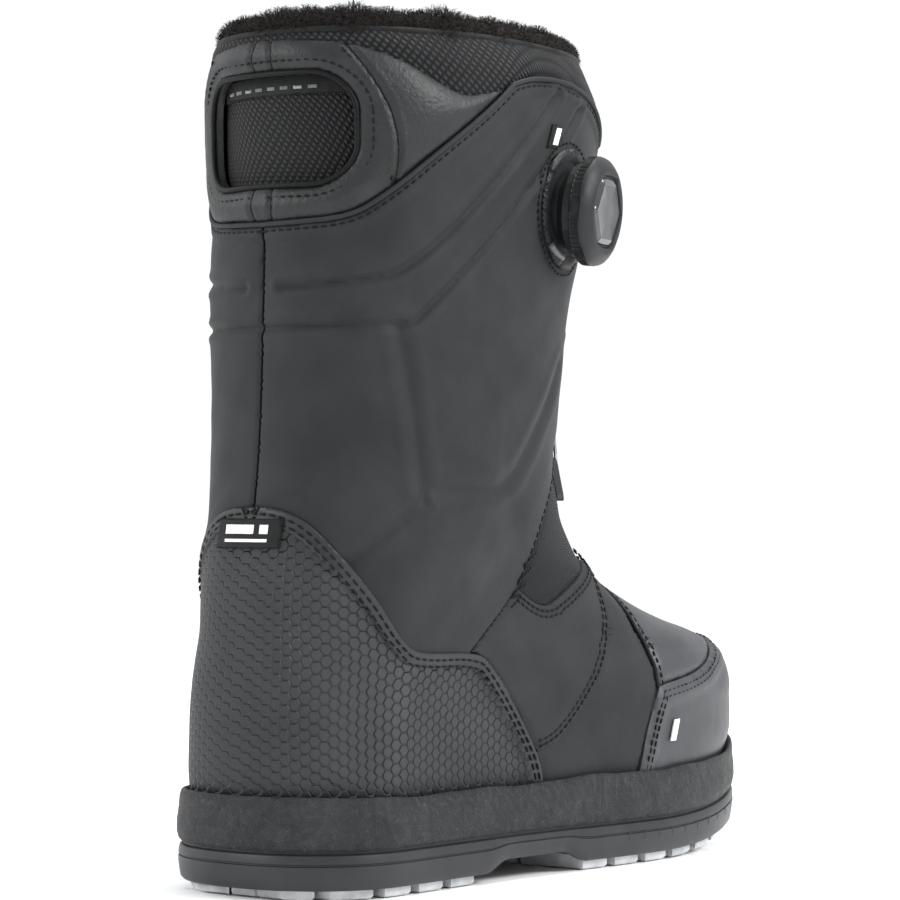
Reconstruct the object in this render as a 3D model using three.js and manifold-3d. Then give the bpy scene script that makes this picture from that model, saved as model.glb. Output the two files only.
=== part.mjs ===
// A right-foot snowboard boot with a side dial that winds a steel lace over its tongue.
//
// Everything is drafted in boot coordinates: "along" runs from the heel towards the toe,
// "across" towards the outer (lateral) side, and "up" from the floor. The finished model
// has +Z up, the toe towards -Y and the lateral side towards -X. Its origin is on the
// floor, under the middle of the heel pad.

import * as THREE from 'three';
import { mergeVertices } from 'three/addons/utils/BufferGeometryUtils.js';
import Module from 'manifold-3d';

const wasm = await Module();
wasm.setup();

// ---------------------------------------------------------------- driving sizes, mm

const LENGTH = 303; // back of the heel to the tip of the toe, over the upper
const HEIGHT = 325; // floor to the rim of the liner
const WIDTH = 106; // across the ball of the foot, over the upper

const CLEARANCE = 0.3; // between two pieces that touch on the real boot
const SEAM = 0.6; // between two panels that share a seam line

const LUG_DEPTH = 5; // outsole rubber, tread included
const GROOVE_DEPTH = 3.5; // tread grooves
const GROOVE_WIDTH = 5;
const TREAD_PITCH = 19; // from one groove to the next
const CARRIER_DEPTH = 11.7; // hard lower midsole
const ARCH_LIFT = 5; // how far the carrier is hollowed under the arch
const ARCH_LENGTH = 60; // between the heel and the forefoot treads, on the drafted boot
const ARCH_SLOPE = 12; // length of the slope at each end of the hollow
const CUP_FLOOR = 3;
const CUP_RISE = 18.7; // height of the textured band round the upper
const FOAM_DEPTH = 9.1;
const OUTSOLE_OUT = 2.5; // how far each sole layer stands out from the upper
const CARRIER_OUT = 5.5;
const CUP_OUT = 5;
const TOE_SPRING = 13; // how far the sole curls up at the tip
const SPRING_LENGTH = 108; // length of the part that curls
const SPRING_FADE = 46; // height over which the upper takes up that curl
const TOE_SWING = 12; // how far the toe leans to the inner side

const SHANK = { from: 70, length: 150, width: 32, thickness: 1.5 };
const BOARD = 1.8; // lasting board
const SHELL = 4; // thickness of the upper's panels
const COVER = 1.7; // thickness of the panels that lie over a stiffener
const LINER = 6; // foam wall of the liner
const LINER_GAP = 0.8; // between the shell and the liner
const LINER_FLOOR = 4;
const LINER_SPLIT = 118; // height of the seam between the liner's foot and its cuff
const FOOTBED = 4;
const COLLAR = { height: 9, bulge: 1.2, inward: 2 };
const TONGUE = 3; // thickness of the shell tongue
const TONGUE_PLAY = 2; // either side of the tongue
const SHELL_TONGUE_DROP = 19; // from the rim to the top of the shell tongue

const WINDOW = { width: 70, height: 41, middle: 279.5, corner: 15, pocket: 3 };
const PULL_LOOP = { width: 16, height: 11, wall: 2, depth: 3 };
const LINER_TONGUE_DROP = 12; // from the rim to the top of the liner's tongue

const LACE_RADIUS = 0.7;
const LACE_STEPS = 60;
const LACE_LIFT = 1.9; // height of the lace over the panels
const GUIDE = { width: 12, height: 17, rise: 3.2, setback: 1.2, corner: 3 };
const GUIDE_HEIGHTS = [152, 202, 252]; // on the drafted boot

const DIAL = {
  along: 129, // where the axis leaves the drafted shaft
  up: 255,
  turn: 16, // degrees from square across towards the toe
  dip: 5, // degrees down
  podHalfWidth: 20,
  podHalfHeight: 22.5,
  podRise: 5,
  podRoot: 14, // how far the pod is drawn below the surface before it is cut to fit
  baseRadius: 17.8,
  baseFloor: 1.6,
  baseWall: 3,
  baseHeight: 6,
  postRadius: 3,
  postHeight: 9,
  boreRadius: 1.6,
  spoolThickness: 2.4,
  spoolGroove: 2.5,
  driveThickness: 2,
  knobPlay: 0.7, // between the base and the knob's skirt
  knobDepth: 9,
  knobSkirt: 1.8,
  knobTop: 3,
  knobLift: 3, // from the base's rim to the underside of the knob's plate
  knurls: 30,
  knurlDepth: 0.7,
  capRadius: 13.6,
  capThickness: 1.2,
  capSides: 6,
  capTaper: 0.8,
  screwHeadRadius: 3.4,
  screwHeadHeight: 1.2,
  screwLength: 6,
};

const LABEL = { width: 29, height: 11, thickness: 0.9, middle: 131.5 };
const BADGE = { width: 9, height: 9, thickness: 1 };
const SHAFT_BADGE = { along: 116, up: 281 };
const TOE_BADGE = { along: 208, up: 51 };

// ---------------------------------------------------------------- the drafted boot

// The sample size that the outlines below are drafted for. Other sizes are graded from it.
const DRAFT = { length: 303, height: 325, width: 106, sole: 30 };

const CUP_BASE = LUG_DEPTH + CLEARANCE + CARRIER_DEPTH + CLEARANCE;
const FOAM_BASE = CUP_BASE + CUP_FLOOR + CLEARANCE;
const UPPER_BASE = FOAM_BASE + FOAM_DEPTH + CLEARANCE;

const GRADE = {
  along: LENGTH / DRAFT.length,
  across: WIDTH / DRAFT.width,
  up: (HEIGHT - UPPER_BASE) / (DRAFT.height - DRAFT.sole),
};
const gradeUp = (up) => UPPER_BASE + (up - DRAFT.sole) * GRADE.up;

// Level outlines of the upper: height, back of the heel, front, length of the heel's round
// end, half width at the heel, half width at the ball, and length of the toe's round end.
const LEVELS = [
  [30, 5, 299, 40, 43, 51, 84],
  [45, 4, 303, 40, 44, 53, 84],
  [76, 5, 297, 44, 44, 51, 84],
  [84, 6, 287, 46, 44, 47, 86],
  [93, 7, 252, 50, 44, 43, 84],
  [106, 8, 214, 56, 46, 42, 76],
  [122, 10, 187, 62, 49, 45, 66],
  [140, 13, 172, 70, 51, 48, 66],
  [165, 16, 162, 74, 54, 52, 68],
  [205, 18, 166, 76, 56.5, 56.5, 74],
  [250, 19, 179, 80, 59, 59, 80],
  [290, 18, 190, 84, 60, 60, 86],
  [325, 19, 194, 84, 59, 59, 86],
].map(([up, back, front, heelEnd, heelHalf, ballHalf, toeEnd]) => {
  // Where the two round ends meet, they share the middle between them.
  const shortfall = Math.max(back + heelEnd - (front - toeEnd), 0) / 2;
  return {
    up: gradeUp(up),
    back: back * GRADE.along,
    front: front * GRADE.along,
    heelMiddle: (back + heelEnd - shortfall) * GRADE.along,
    toeMiddle: (front - toeEnd + shortfall) * GRADE.along,
    heelHalf: heelHalf * GRADE.across,
    ballHalf: ballHalf * GRADE.across,
  };
});
const ROUNDNESS = 2.25; // exponent of the round ends: 2 is an ellipse
const WAIST = 3; // how far the sides draw in at the arch
const HEEL_STEPS = 6;
const SIDE_STEPS = 3;
const TOE_STEPS = 6;

const ORIGIN_ALONG = 45; // the heel pad's middle, from the back of the heel
const ABOVE = HEIGHT + 60; // well over the boot
const BEYOND = LENGTH + 60; // well past the toe
const BEHIND = -40; // well behind the heel

const REAR_PART = 60 * GRADE.along; // a cut meant for the back alone ends here
const FRONT_HALF = 100 * GRADE.along; // a cut meant for the front alone starts here

// Seam lines, as seen from the side: [along, up] on the drafted boot.
const drafted = ([along, up]) => new THREE.Vector2(along * GRADE.along, gradeUp(up));
const seam = (points) => points.map(drafted);

const COUNTER_TOP = seam([
  [13, 142], [16, 139], [18, 135], [24, 122], [40, 100], [48, 91], [54, 88], [87, 87],
]);
const COUNTER_FRONT = seam([[87, 87], [97, 84], [126, 48], [132, 30]]);
const SHAFT_LOWER = seam([[87, 87], [103, 97], [118, 110]]);
const SHAFT_FRONT = seam([[118, 110], [122, 119], [128, 133], [138, 150], [152, 168]]);
const QUARTER_TOP = seam([[118, 110], [129, 105], [137, 103], [142, 104], [160, 112], [182, 122]]);
const ARC = seam([
  [126, 48], [136, 50], [150, 62], [166, 77], [174, 86], [177, 95], [180, 110], [182, 122],
]);
const TOE_REAR = seam([[186, 30], [192, 54], [201, 69]]);
const TOE_SEAM = seam([[201, 69], [199, 81], [198, 96], [197, 122]]);
const CAP_TOP = seam([[201, 69], [221, 72], [236, 75], [251, 80], [272, 88]]);
const YOKE_LOWER = seam([[19, 245], [29, 247], [38, 255], [56, 272], [80, 290], [90, 299]]);
const YOKE_UPPER = seam([
  [90, 299], [77, 295], [66, 294], [56, 298], [46, 304], [36, 309], [26, 312], [18, 313],
]);
const SHAFT_TOP = seam([[90, 299], [101, 301], [132, 302], [153, 296], [170, 286]]);

// The gap between the front edges of the shaft, as seen from the front: [half width, up].
const THROAT = [
  [12, 114], [18, 123], [20, 140], [21, 165], [22, 205], [23, 250], [25, 290], [28, 325],
].map(([half, up]) => new THREE.Vector2(half * GRADE.across, gradeUp(up)));

// ---------------------------------------------------------------- coordinates

const toModel = (along, across, up) => new THREE.Vector3(-across, ORIGIN_ALONG - along, up);
const corner = (along, up) => new THREE.Vector2(along, up);
const mix = (from, to, share) => from + (to - from) * share;

function levelAt(up) {
  const top = LEVELS.findIndex((level) => level.up >= up);
  if (top === 0) return LEVELS[0];
  if (top < 0) return LEVELS[LEVELS.length - 1];
  const low = LEVELS[top - 1];
  const high = LEVELS[top];
  const share = (up - low.up) / (high.up - low.up);
  return Object.fromEntries(Object.keys(low).map((key) => [key, mix(low[key], high[key], share)]));
}

const WAIST_TOP = 130; // heights below which the waist and the toe's swing come in
const SWING_TOP = 120;
const COME_IN = 60; // the height that they take to do so

const towardsSole = (up, top) => THREE.MathUtils.clamp((gradeUp(top) - up) / (COME_IN * GRADE.up), 0, 1);

// The outline's sizes at a height, moved inwards by `inset` (outwards where it is negative).
// An inward layer also lies lower, so that it keeps its distance under the instep and toe.
function outlineAt(up, inset) {
  const level = levelAt(up + Math.max(inset, 0));
  return {
    heelMiddle: level.heelMiddle,
    toeMiddle: level.toeMiddle,
    heelEnd: level.heelMiddle - level.back - inset,
    toeEnd: level.front - inset - level.toeMiddle,
    heelHalf: level.heelHalf - inset,
    ballHalf: level.ballHalf - inset,
    waist: WAIST * towardsSole(up, WAIST_TOP),
  };
}

function swing(along, up) {
  const low = towardsSole(up, SWING_TOP);
  const half = DRAFT.length / 2;
  const forward = THREE.MathUtils.clamp((along / GRADE.along - half) / half, 0, 1);
  return -TOE_SWING * low * forward ** 2;
}

const bow = (value) => Math.max(value, 0) ** (2 / ROUNDNESS);

// Points of the lateral half of an outline, from the back of the heel to the toe.
function halfOutline(up, inset) {
  const line = outlineAt(up, inset);
  const points = [];
  for (let step = 0; step < HEEL_STEPS; step += 1) {
    const angle = ((Math.PI / 2) * step) / HEEL_STEPS;
    const back = line.heelEnd * bow(Math.cos(angle));
    points.push([line.heelMiddle - back, line.heelHalf * bow(Math.sin(angle))]);
  }
  for (let step = 0; step < SIDE_STEPS; step += 1) {
    const share = step / SIDE_STEPS;
    const half = mix(line.heelHalf, line.ballHalf, THREE.MathUtils.smoothstep(share, 0, 1));
    const drawn = line.waist * Math.sin(Math.PI * share) ** 2;
    points.push([mix(line.heelMiddle, line.toeMiddle, share) + share * 1e-3, half - drawn]);
  }
  for (let step = 0; step <= TOE_STEPS; step += 1) {
    const angle = ((Math.PI / 2) * step) / TOE_STEPS;
    const across = step === TOE_STEPS ? 0 : line.ballHalf * bow(Math.cos(angle));
    points.push([line.toeMiddle + 1e-3 + line.toeEnd * bow(Math.sin(angle)), across]);
  }
  return points;
}

function ring(up, inset) {
  const half = halfOutline(up, inset);
  const mirrored = half.slice(1, -1).reverse().map(([along, across]) => [along, -across]);
  const level = up + Math.max(inset, 0);
  return [...half, ...mirrored].map(([along, across]) => toModel(along, across + swing(along, level), up));
}

// A point of the front or lateral surface: where it is `across` the boot, or `along` it.
function frontPoint(across, up, lift) {
  const line = outlineAt(up, -lift);
  const angle = Math.acos((Math.abs(across) / line.ballHalf) ** (ROUNDNESS / 2));
  return toModel(line.toeMiddle + line.toeEnd * bow(Math.sin(angle)), across, up);
}

function lateralPoint(along, up, lift) {
  const line = outlineAt(up, -lift);
  const angle = Math.asin((Math.max(along - line.toeMiddle, 0) / line.toeEnd) ** (ROUNDNESS / 2));
  return toModel(along, line.ballHalf * bow(Math.cos(angle)), up);
}

// ---------------------------------------------------------------- solids

function solid(geometry) {
  const bare = geometry.clone();
  bare.deleteAttribute('normal');
  bare.deleteAttribute('uv');
  const merged = mergeVertices(bare, 1e-4);
  return new wasm.Manifold(
    new wasm.Mesh({
      numProp: 3,
      vertProperties: new Float32Array(merged.attributes.position.array),
      triVerts: new Uint32Array(merged.index.array),
    }),
  );
}

function geometryOf(manifold) {
  const mesh = manifold.getMesh();
  const geometry = new THREE.BufferGeometry();
  geometry.setAttribute('position', new THREE.BufferAttribute(new Float32Array(mesh.vertProperties), 3));
  geometry.setIndex(new THREE.BufferAttribute(new Uint32Array(mesh.triVerts), 1));
  return geometry;
}

// A closed solid through outlines of the boot. Its two ends are ladders of strips that run
// from side to side, so that the sole can be curled up at the toe.
function body(inset, low, high) {
  const drop = Math.max(inset, 0);
  const between = LEVELS.map((level) => level.up - drop).filter((up) => up > low + 0.5 && up < high - 0.5);
  const rings = [low, ...between, high].map((up) => ring(up, inset));
  const count = rings[0].length;
  const positions = rings.flat().flatMap((point) => point.toArray());
  const faces = [];
  const quad = (a, b, c, d) => faces.push(a, b, c, a, c, d);
  rings.slice(1).forEach((_, level) => {
    for (let i = 0; i < count; i += 1) {
      const next = (i + 1) % count;
      quad(level * count + i, level * count + next, (level + 1) * count + next, (level + 1) * count + i);
    }
  });
  const roof = (rings.length - 1) * count;
  faces.push(0, count - 1, 1, roof, roof + 1, roof + count - 1);
  for (let i = 1; i < count / 2 - 1; i += 1) {
    quad(i, count - i, count - i - 1, i + 1);
    quad(roof + i, roof + i + 1, roof + count - i - 1, roof + count - i);
  }
  const tip = count / 2;
  faces.push(tip - 1, tip + 1, tip, roof + tip - 1, roof + tip, roof + tip + 1);
  const geometry = new THREE.BufferGeometry();
  geometry.setAttribute('position', new THREE.BufferAttribute(new Float32Array(positions), 3));
  geometry.setIndex(faces);
  return solid(geometry);
}

// A wall that follows the boot's outline between two insets.
function wall(outer, inner, low, high) {
  return body(outer, low, high).subtract(body(inner, low - 5, high + 5));
}

// Moves each side of a closed outline inwards by `gap`.
function shrink(points, gap) {
  const direction = THREE.ShapeUtils.area(points) > 0 ? 1 : -1;
  return points.map((point, i) => {
    const before = points[(i + points.length - 1) % points.length];
    const after = points[(i + 1) % points.length];
    const arriving = point.clone().sub(before).normalize();
    const leaving = after.clone().sub(point).normalize();
    const inward = corner(-arriving.y - leaving.y, arriving.x + leaving.x).multiplyScalar(direction);
    const reach = Math.max(1 + arriving.dot(leaving), 0.15);
    return point.clone().addScaledVector(inward, gap / reach);
  });
}

// A region drawn as seen from the side, taken right across the boot or on one side of it.
function sideRegion(points, low = -WIDTH, high = WIDTH) {
  const outline = shrink(points, SEAM / 2).map((point) => corner(ORIGIN_ALONG - point.x, point.y));
  const depth = high - low;
  const geometry = new THREE.ExtrudeGeometry(new THREE.Shape(outline), { depth, bevelEnabled: false });
  geometry.translate(0, 0, -high);
  const basis = new THREE.Matrix4().makeBasis(
    new THREE.Vector3(0, 1, 0),
    new THREE.Vector3(0, 0, 1),
    new THREE.Vector3(1, 0, 0),
  );
  return solid(geometry.applyMatrix4(basis));
}

// A region drawn as seen from the front or the back, [across, up], between two places along.
function frontRegion(shape, from, to) {
  const depth = to - from;
  const geometry = new THREE.ExtrudeGeometry(shape, { depth, bevelEnabled: false, curveSegments: 6 });
  const basis = new THREE.Matrix4().makeBasis(
    new THREE.Vector3(1, 0, 0),
    new THREE.Vector3(0, 0, 1),
    new THREE.Vector3(0, -1, 0),
  );
  return solid(geometry.applyMatrix4(basis).translate(0, ORIGIN_ALONG - from, 0));
}

function block(alongLow, alongHigh, acrossLow, acrossHigh, low, high) {
  const geometry = new THREE.BoxGeometry(acrossHigh - acrossLow, alongHigh - alongLow, high - low);
  const middle = toModel((alongLow + alongHigh) / 2, (acrossLow + acrossHigh) / 2, (low + high) / 2);
  return solid(geometry.translate(middle.x, middle.y, middle.z));
}

function roundedRectangle(x, y, width, height, radius) {
  const shape = new THREE.Shape();
  shape.moveTo(x - width / 2 + radius, y - height / 2);
  shape.lineTo(x + width / 2 - radius, y - height / 2);
  shape.absarc(x + width / 2 - radius, y - height / 2 + radius, radius, -Math.PI / 2, 0);
  shape.absarc(x + width / 2 - radius, y + height / 2 - radius, radius, 0, Math.PI / 2);
  shape.absarc(x - width / 2 + radius, y + height / 2 - radius, radius, Math.PI / 2, Math.PI);
  shape.absarc(x - width / 2 + radius, y - height / 2 + radius, radius, Math.PI, Math.PI * 1.5);
  return shape;
}

// ---------------------------------------------------------------- adding pieces

const boot = new THREE.Group();

const FINISHES = {
  gripRubber: { color: 0xd6d6d8, roughness: 0.7, metalness: 0 },
  moulded: { color: 0x26282a, roughness: 0.55, metalness: 0 },
  grainedRubber: { color: 0x35373a, roughness: 0.7, metalness: 0 },
  foam: { color: 0x8d9094, roughness: 0.95, metalness: 0 },
  steel: { color: 0xb9bcc0, roughness: 0.35, metalness: 1 },
  board: { color: 0xb8ad98, roughness: 0.9, metalness: 0 },
  synthetic: { color: 0x3b3d40, roughness: 0.75, metalness: 0 },
  hexEmboss: { color: 0x45484b, roughness: 0.6, metalness: 0 },
  grainLeather: { color: 0x2f3133, roughness: 0.5, metalness: 0 },
  stiffener: { color: 0xdcdad2, roughness: 0.6, metalness: 0 },
  stretch: { color: 0x1d1e20, roughness: 0.9, metalness: 0 },
  mesh: { color: 0x17181a, roughness: 0.95, metalness: 0 },
  pile: { color: 0x242222, roughness: 1, metalness: 0 },
  gloss: { color: 0x1a1c1e, roughness: 0.18, metalness: 0 },
  label: { color: 0x121314, roughness: 0.8, metalness: 0 },
  badge: { color: 0xe6e7e8, roughness: 0.5, metalness: 0 },
};

// The sole and the foot of the upper curl up together towards the tip of the toe.
function curl(geometry) {
  const place = geometry.attributes.position;
  const start = LENGTH - SPRING_LENGTH;
  for (let i = 0; i < place.count; i += 1) {
    const along = ORIGIN_ALONG - place.getY(i);
    const forward = THREE.MathUtils.clamp((along - start) / SPRING_LENGTH, 0, 1.1);
    const fade = THREE.MathUtils.clamp(1 - (place.getZ(i) - UPPER_BASE) / SPRING_FADE, 0, 1);
    place.setZ(i, place.getZ(i) + TOE_SPRING * forward ** 2 * fade);
  }
  return geometry;
}

function add(name, finish, geometry, parent = boot) {
  geometry.computeVertexNormals();
  const mesh = new THREE.Mesh(geometry, new THREE.MeshStandardMaterial(FINISHES[finish]));
  mesh.name = name;
  parent.add(mesh);
}

const addCut = (name, finish, manifold) => add(name, finish, curl(geometryOf(manifold)));

// ---------------------------------------------------------------- sole

function treadGrooves(from, to) {
  let grooves = null;
  for (let along = from; along < to; along += TREAD_PITCH) {
    const groove = block(along, along + GROOVE_WIDTH, -WIDTH, WIDTH, -1, GROOVE_DEPTH);
    grooves = grooves ? grooves.add(groove) : groove;
  }
  return grooves;
}

const HEEL_END = ORIGIN_ALONG + TREAD_PITCH * 2.5;
const BALL_START = HEEL_END + ARCH_LENGTH * GRADE.along;

function makeOutsole() {
  const sheet = body(-OUTSOLE_OUT, 0, LUG_DEPTH);
  const heelStart = ORIGIN_ALONG - TREAD_PITCH * 1.5 - GROOVE_WIDTH / 2;
  const heel = sheet.intersect(block(BEHIND, HEEL_END, -WIDTH, WIDTH, -1, LUG_DEPTH + 1));
  addCut('outsole_heel', 'gripRubber', heel.subtract(treadGrooves(heelStart, HEEL_END - TREAD_PITCH / 2)));
  const ball = sheet.intersect(block(BALL_START, BEYOND, -WIDTH, WIDTH, -1, LUG_DEPTH + 1));
  const ballGrooves = treadGrooves(BALL_START + TREAD_PITCH / 2, LENGTH - TREAD_PITCH / 2);
  addCut('outsole_forefoot', 'gripRubber', ball.subtract(ballGrooves));
}

function makeCarrier() {
  const base = LUG_DEPTH + CLEARANCE;
  const top = base + ARCH_LIFT;
  const low = base - ARCH_LIFT; // well under the carrier
  const arch = [
    corner(HEEL_END + SEAM, low),
    corner(HEEL_END + SEAM + ARCH_SLOPE, top),
    corner(BALL_START - SEAM - ARCH_SLOPE, top),
    corner(BALL_START - SEAM, low),
  ];
  const carrier = body(-CARRIER_OUT, base, base + CARRIER_DEPTH).subtract(sideRegion(arch));
  addCut('midsole_carrier', 'moulded', carrier);
}

function makeCup() {
  const cup = body(-CUP_OUT, CUP_BASE, CUP_BASE + CUP_RISE);
  addCut('foxing_cup', 'grainedRubber', cup.subtract(body(-CLEARANCE, CUP_BASE + CUP_FLOOR, ABOVE)));
}

function makeMidsole() {
  const shankFrom = SHANK.from * GRADE.along;
  const pocket = block(
    shankFrom - CLEARANCE,
    shankFrom + SHANK.length + CLEARANCE,
    -SHANK.width / 2 - CLEARANCE,
    SHANK.width / 2 + CLEARANCE,
    FOAM_BASE + FOAM_DEPTH - SHANK.thickness - CLEARANCE,
    ABOVE,
  );
  const steel = block(
    shankFrom,
    shankFrom + SHANK.length,
    -SHANK.width / 2,
    SHANK.width / 2,
    FOAM_BASE + FOAM_DEPTH - SHANK.thickness,
    FOAM_BASE + FOAM_DEPTH,
  );
  addCut('midsole_foam', 'foam', body(0, FOAM_BASE, FOAM_BASE + FOAM_DEPTH).subtract(pocket));
  addCut('shank', 'steel', steel.intersect(body(0, FOAM_BASE, ABOVE)));
  addCut('lasting_board', 'board', body(SHELL + CLEARANCE, wallBase, wallBase + BOARD));
}

// ---------------------------------------------------------------- upper

const reversed = (points) => [...points].reverse();

function throat(play, low = THROAT[0].y) {
  const half = THROAT.filter((point) => point.y >= low).map((point) => corner(point.x - play, point.y));
  half.push(corner(half[half.length - 1].x, ABOVE));
  return new THREE.Shape([...half, ...reversed(half).map((point) => corner(-point.x, point.y))]);
}

const throatCut = frontRegion(throat(0), FRONT_HALF, BEYOND);
const wallBase = UPPER_BASE + CLEARANCE;
const upperWall = wall(0, SHELL, wallBase, HEIGHT + 5).subtract(throatCut);
const coverWall = wall(0, COVER, wallBase, gradeUp(160));
const stiffenerWall = wall(COVER + CLEARANCE, SHELL, wallBase, gradeUp(160));

const CAP_RISE = 12; // how much the toe cap's edge still climbs past the end of CAP_TOP

const counterRegion = [
  corner(BEHIND, COUNTER_TOP[0].y),
  ...COUNTER_TOP,
  ...COUNTER_FRONT.slice(1),
  corner(COUNTER_FRONT[3].x, -5),
  corner(BEHIND, -5),
];
const capRegion = [
  corner(TOE_REAR[0].x, -5),
  ...TOE_REAR,
  ...CAP_TOP.slice(1),
  corner(BEYOND, CAP_TOP[4].y + CAP_RISE),
  corner(BEYOND, -5),
];
const yokeRegion = [
  corner(BEHIND, YOKE_LOWER[0].y),
  ...YOKE_LOWER,
  ...YOKE_UPPER.slice(1),
  corner(BEHIND, YOKE_UPPER[7].y),
];
const shaftRegion = [
  corner(BEHIND, COUNTER_TOP[0].y),
  ...COUNTER_TOP,
  ...SHAFT_LOWER.slice(1),
  ...SHAFT_FRONT.slice(1),
  corner(BEYOND, SHAFT_FRONT[4].y),
  corner(BEYOND, SHAFT_TOP[4].y),
  ...reversed(SHAFT_TOP),
  ...reversed(YOKE_LOWER).slice(1),
  corner(BEHIND, YOKE_LOWER[0].y),
];
const quarterRegion = [
  ...COUNTER_FRONT.slice(0, 3),
  ...ARC.slice(1),
  ...reversed(QUARTER_TOP).slice(1),
  ...reversed(SHAFT_LOWER).slice(1, -1),
];
const gussetRegion = [
  ...QUARTER_TOP,
  corner(BEYOND, QUARTER_TOP[5].y),
  corner(BEYOND, SHAFT_FRONT[4].y),
  ...reversed(SHAFT_FRONT).slice(0, -1),
];
const vampRegion = [
  ...reversed(ARC),
  COUNTER_FRONT[3],
  corner(COUNTER_FRONT[3].x, -5),
  corner(TOE_REAR[0].x, -5),
  ...TOE_REAR,
  ...TOE_SEAM.slice(1),
];
const toeBoxRegion = [
  ...CAP_TOP,
  corner(BEYOND, CAP_TOP[4].y + CAP_RISE),
  corner(BEYOND, TOE_SEAM[3].y),
  ...reversed(TOE_SEAM).slice(0, -1),
];

// Panels that come as a lateral and a medial one, parted on the middle line.
function addPair(name, finish, region) {
  const edge = SEAM / 2;
  addCut(`${name}_lateral`, finish, upperWall.intersect(sideRegion(region, edge, WIDTH)));
  addCut(`${name}_medial`, finish, upperWall.intersect(sideRegion(region, -WIDTH, -edge)));
}

function makeUpper() {
  addCut('heel_counter_cover', 'hexEmboss', coverWall.intersect(sideRegion(counterRegion)));
  addCut('heel_counter_stiffener', 'stiffener', stiffenerWall.intersect(sideRegion(counterRegion)));
  addPair('shaft_panel', 'synthetic', shaftRegion);
  addPair('quarter', 'synthetic', quarterRegion);
  addPair('flex_gusset', 'stretch', gussetRegion);
  addCut('vamp', 'synthetic', upperWall.intersect(sideRegion(vampRegion)));
  addCut('toe_box_panel', 'synthetic', upperWall.intersect(sideRegion(toeBoxRegion)));
  addCut('toe_cap', 'synthetic', coverWall.intersect(sideRegion(capRegion)));
  addCut('toe_puff', 'stiffener', stiffenerWall.intersect(sideRegion(capRegion)));
}

function windowShape(grow) {
  const { width, height, middle, corner: radius } = WINDOW;
  return roundedRectangle(0, gradeUp(middle), width + 2 * grow, height + 2 * grow, radius + grow);
}

function makeYoke() {
  const opening = frontRegion(windowShape(0), BEHIND, REAR_PART);
  addCut('collar_yoke', 'grainLeather', upperWall.intersect(sideRegion(yokeRegion)).subtract(opening));
}

function makeTongue() {
  const low = THROAT[1].y - 2;
  const strip = frontRegion(throat(TONGUE_PLAY, low), FRONT_HALF, BEYOND);
  const high = HEIGHT - SHELL_TONGUE_DROP;
  const under = SHELL + LINER_GAP - 2 * CLEARANCE;
  addCut('shell_tongue', 'synthetic', wall(under - TONGUE, under, low, high).intersect(strip));
}

// ---------------------------------------------------------------- liner

function makeLiner() {
  const outer = SHELL + LINER_GAP;
  const inner = outer + LINER;
  const floor = wallBase + BOARD + CLEARANCE;
  const rim = HEIGHT - COLLAR.height - CLEARANCE;
  const tongueLow = THROAT[1].y + 3;
  const gap = frontRegion(throat(2 * TONGUE_PLAY, tongueLow - 1), FRONT_HALF, BEYOND);
  const behindWindow = frontRegion(windowShape(-2), BEHIND, REAR_PART);
  const behindSeam = frontRegion(windowShape(-2 + CLEARANCE), BEHIND, REAR_PART);
  const split = gradeUp(LINER_SPLIT);
  const foot = body(outer, floor, split).subtract(body(inner, floor + LINER_FLOOR, ABOVE));
  addCut('liner_foot', 'mesh', foot.subtract(gap));
  const cuff = wall(outer, inner, split + CLEARANCE, rim).subtract(gap).subtract(behindSeam);
  addCut('liner_cuff_lateral', 'mesh', cuff.intersect(block(BEHIND, BEYOND, SEAM / 2, WIDTH, 0, ABOVE)));
  addCut('liner_cuff_medial', 'mesh', cuff.intersect(block(BEHIND, BEYOND, -WIDTH, -SEAM / 2, 0, ABOVE)));
  const screen = wall(outer + WINDOW.pocket, inner, split + CLEARANCE, rim);
  addCut('liner_window_mesh', 'mesh', screen.intersect(behindWindow));
  const roll = wall(outer - COLLAR.bulge, inner + COLLAR.inward, rim + CLEARANCE, HEIGHT);
  addCut('liner_collar', 'pile', roll.subtract(gap));
  const strip = frontRegion(throat(3 * TONGUE_PLAY, tongueLow), FRONT_HALF, BEYOND);
  addCut('liner_tongue', 'mesh', wall(outer, inner, tongueLow, HEIGHT - LINER_TONGUE_DROP).intersect(strip));
  const bedBase = floor + LINER_FLOOR + CLEARANCE;
  addCut('footbed', 'foam', body(inner + CLEARANCE, bedBase, bedBase + FOOTBED));
}

function makePullLoop() {
  const { width, height, wall: thickness, depth } = PULL_LOOP;
  const shape = roundedRectangle(0, 0, width, height, width * 0.3);
  shape.holes.push(roundedRectangle(0, 0, width - 2 * thickness, height - 2 * thickness, width * 0.2));
  const geometry = new THREE.ExtrudeGeometry(shape, { depth, bevelEnabled: false, curveSegments: 4 });
  geometry.rotateX(Math.PI / 2);
  const seat = frontPoint(0, HEIGHT - LINER_TONGUE_DROP, -(SHELL + LINER_GAP + LINER / 2));
  geometry.translate(0, seat.y + depth / 2, seat.z + CLEARANCE + height / 2);
  add('tongue_pull_loop', 'stretch', geometry);
}

// ---------------------------------------------------------------- lace and its guides

const guideAcross = (up) => {
  const above = THROAT.findIndex((point) => point.y >= up);
  const low = THROAT[above - 1];
  const high = THROAT[above];
  return mix(low.x, high.x, (up - low.y) / (high.y - low.y)) + GUIDE.setback + GUIDE.width / 2;
};

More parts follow.
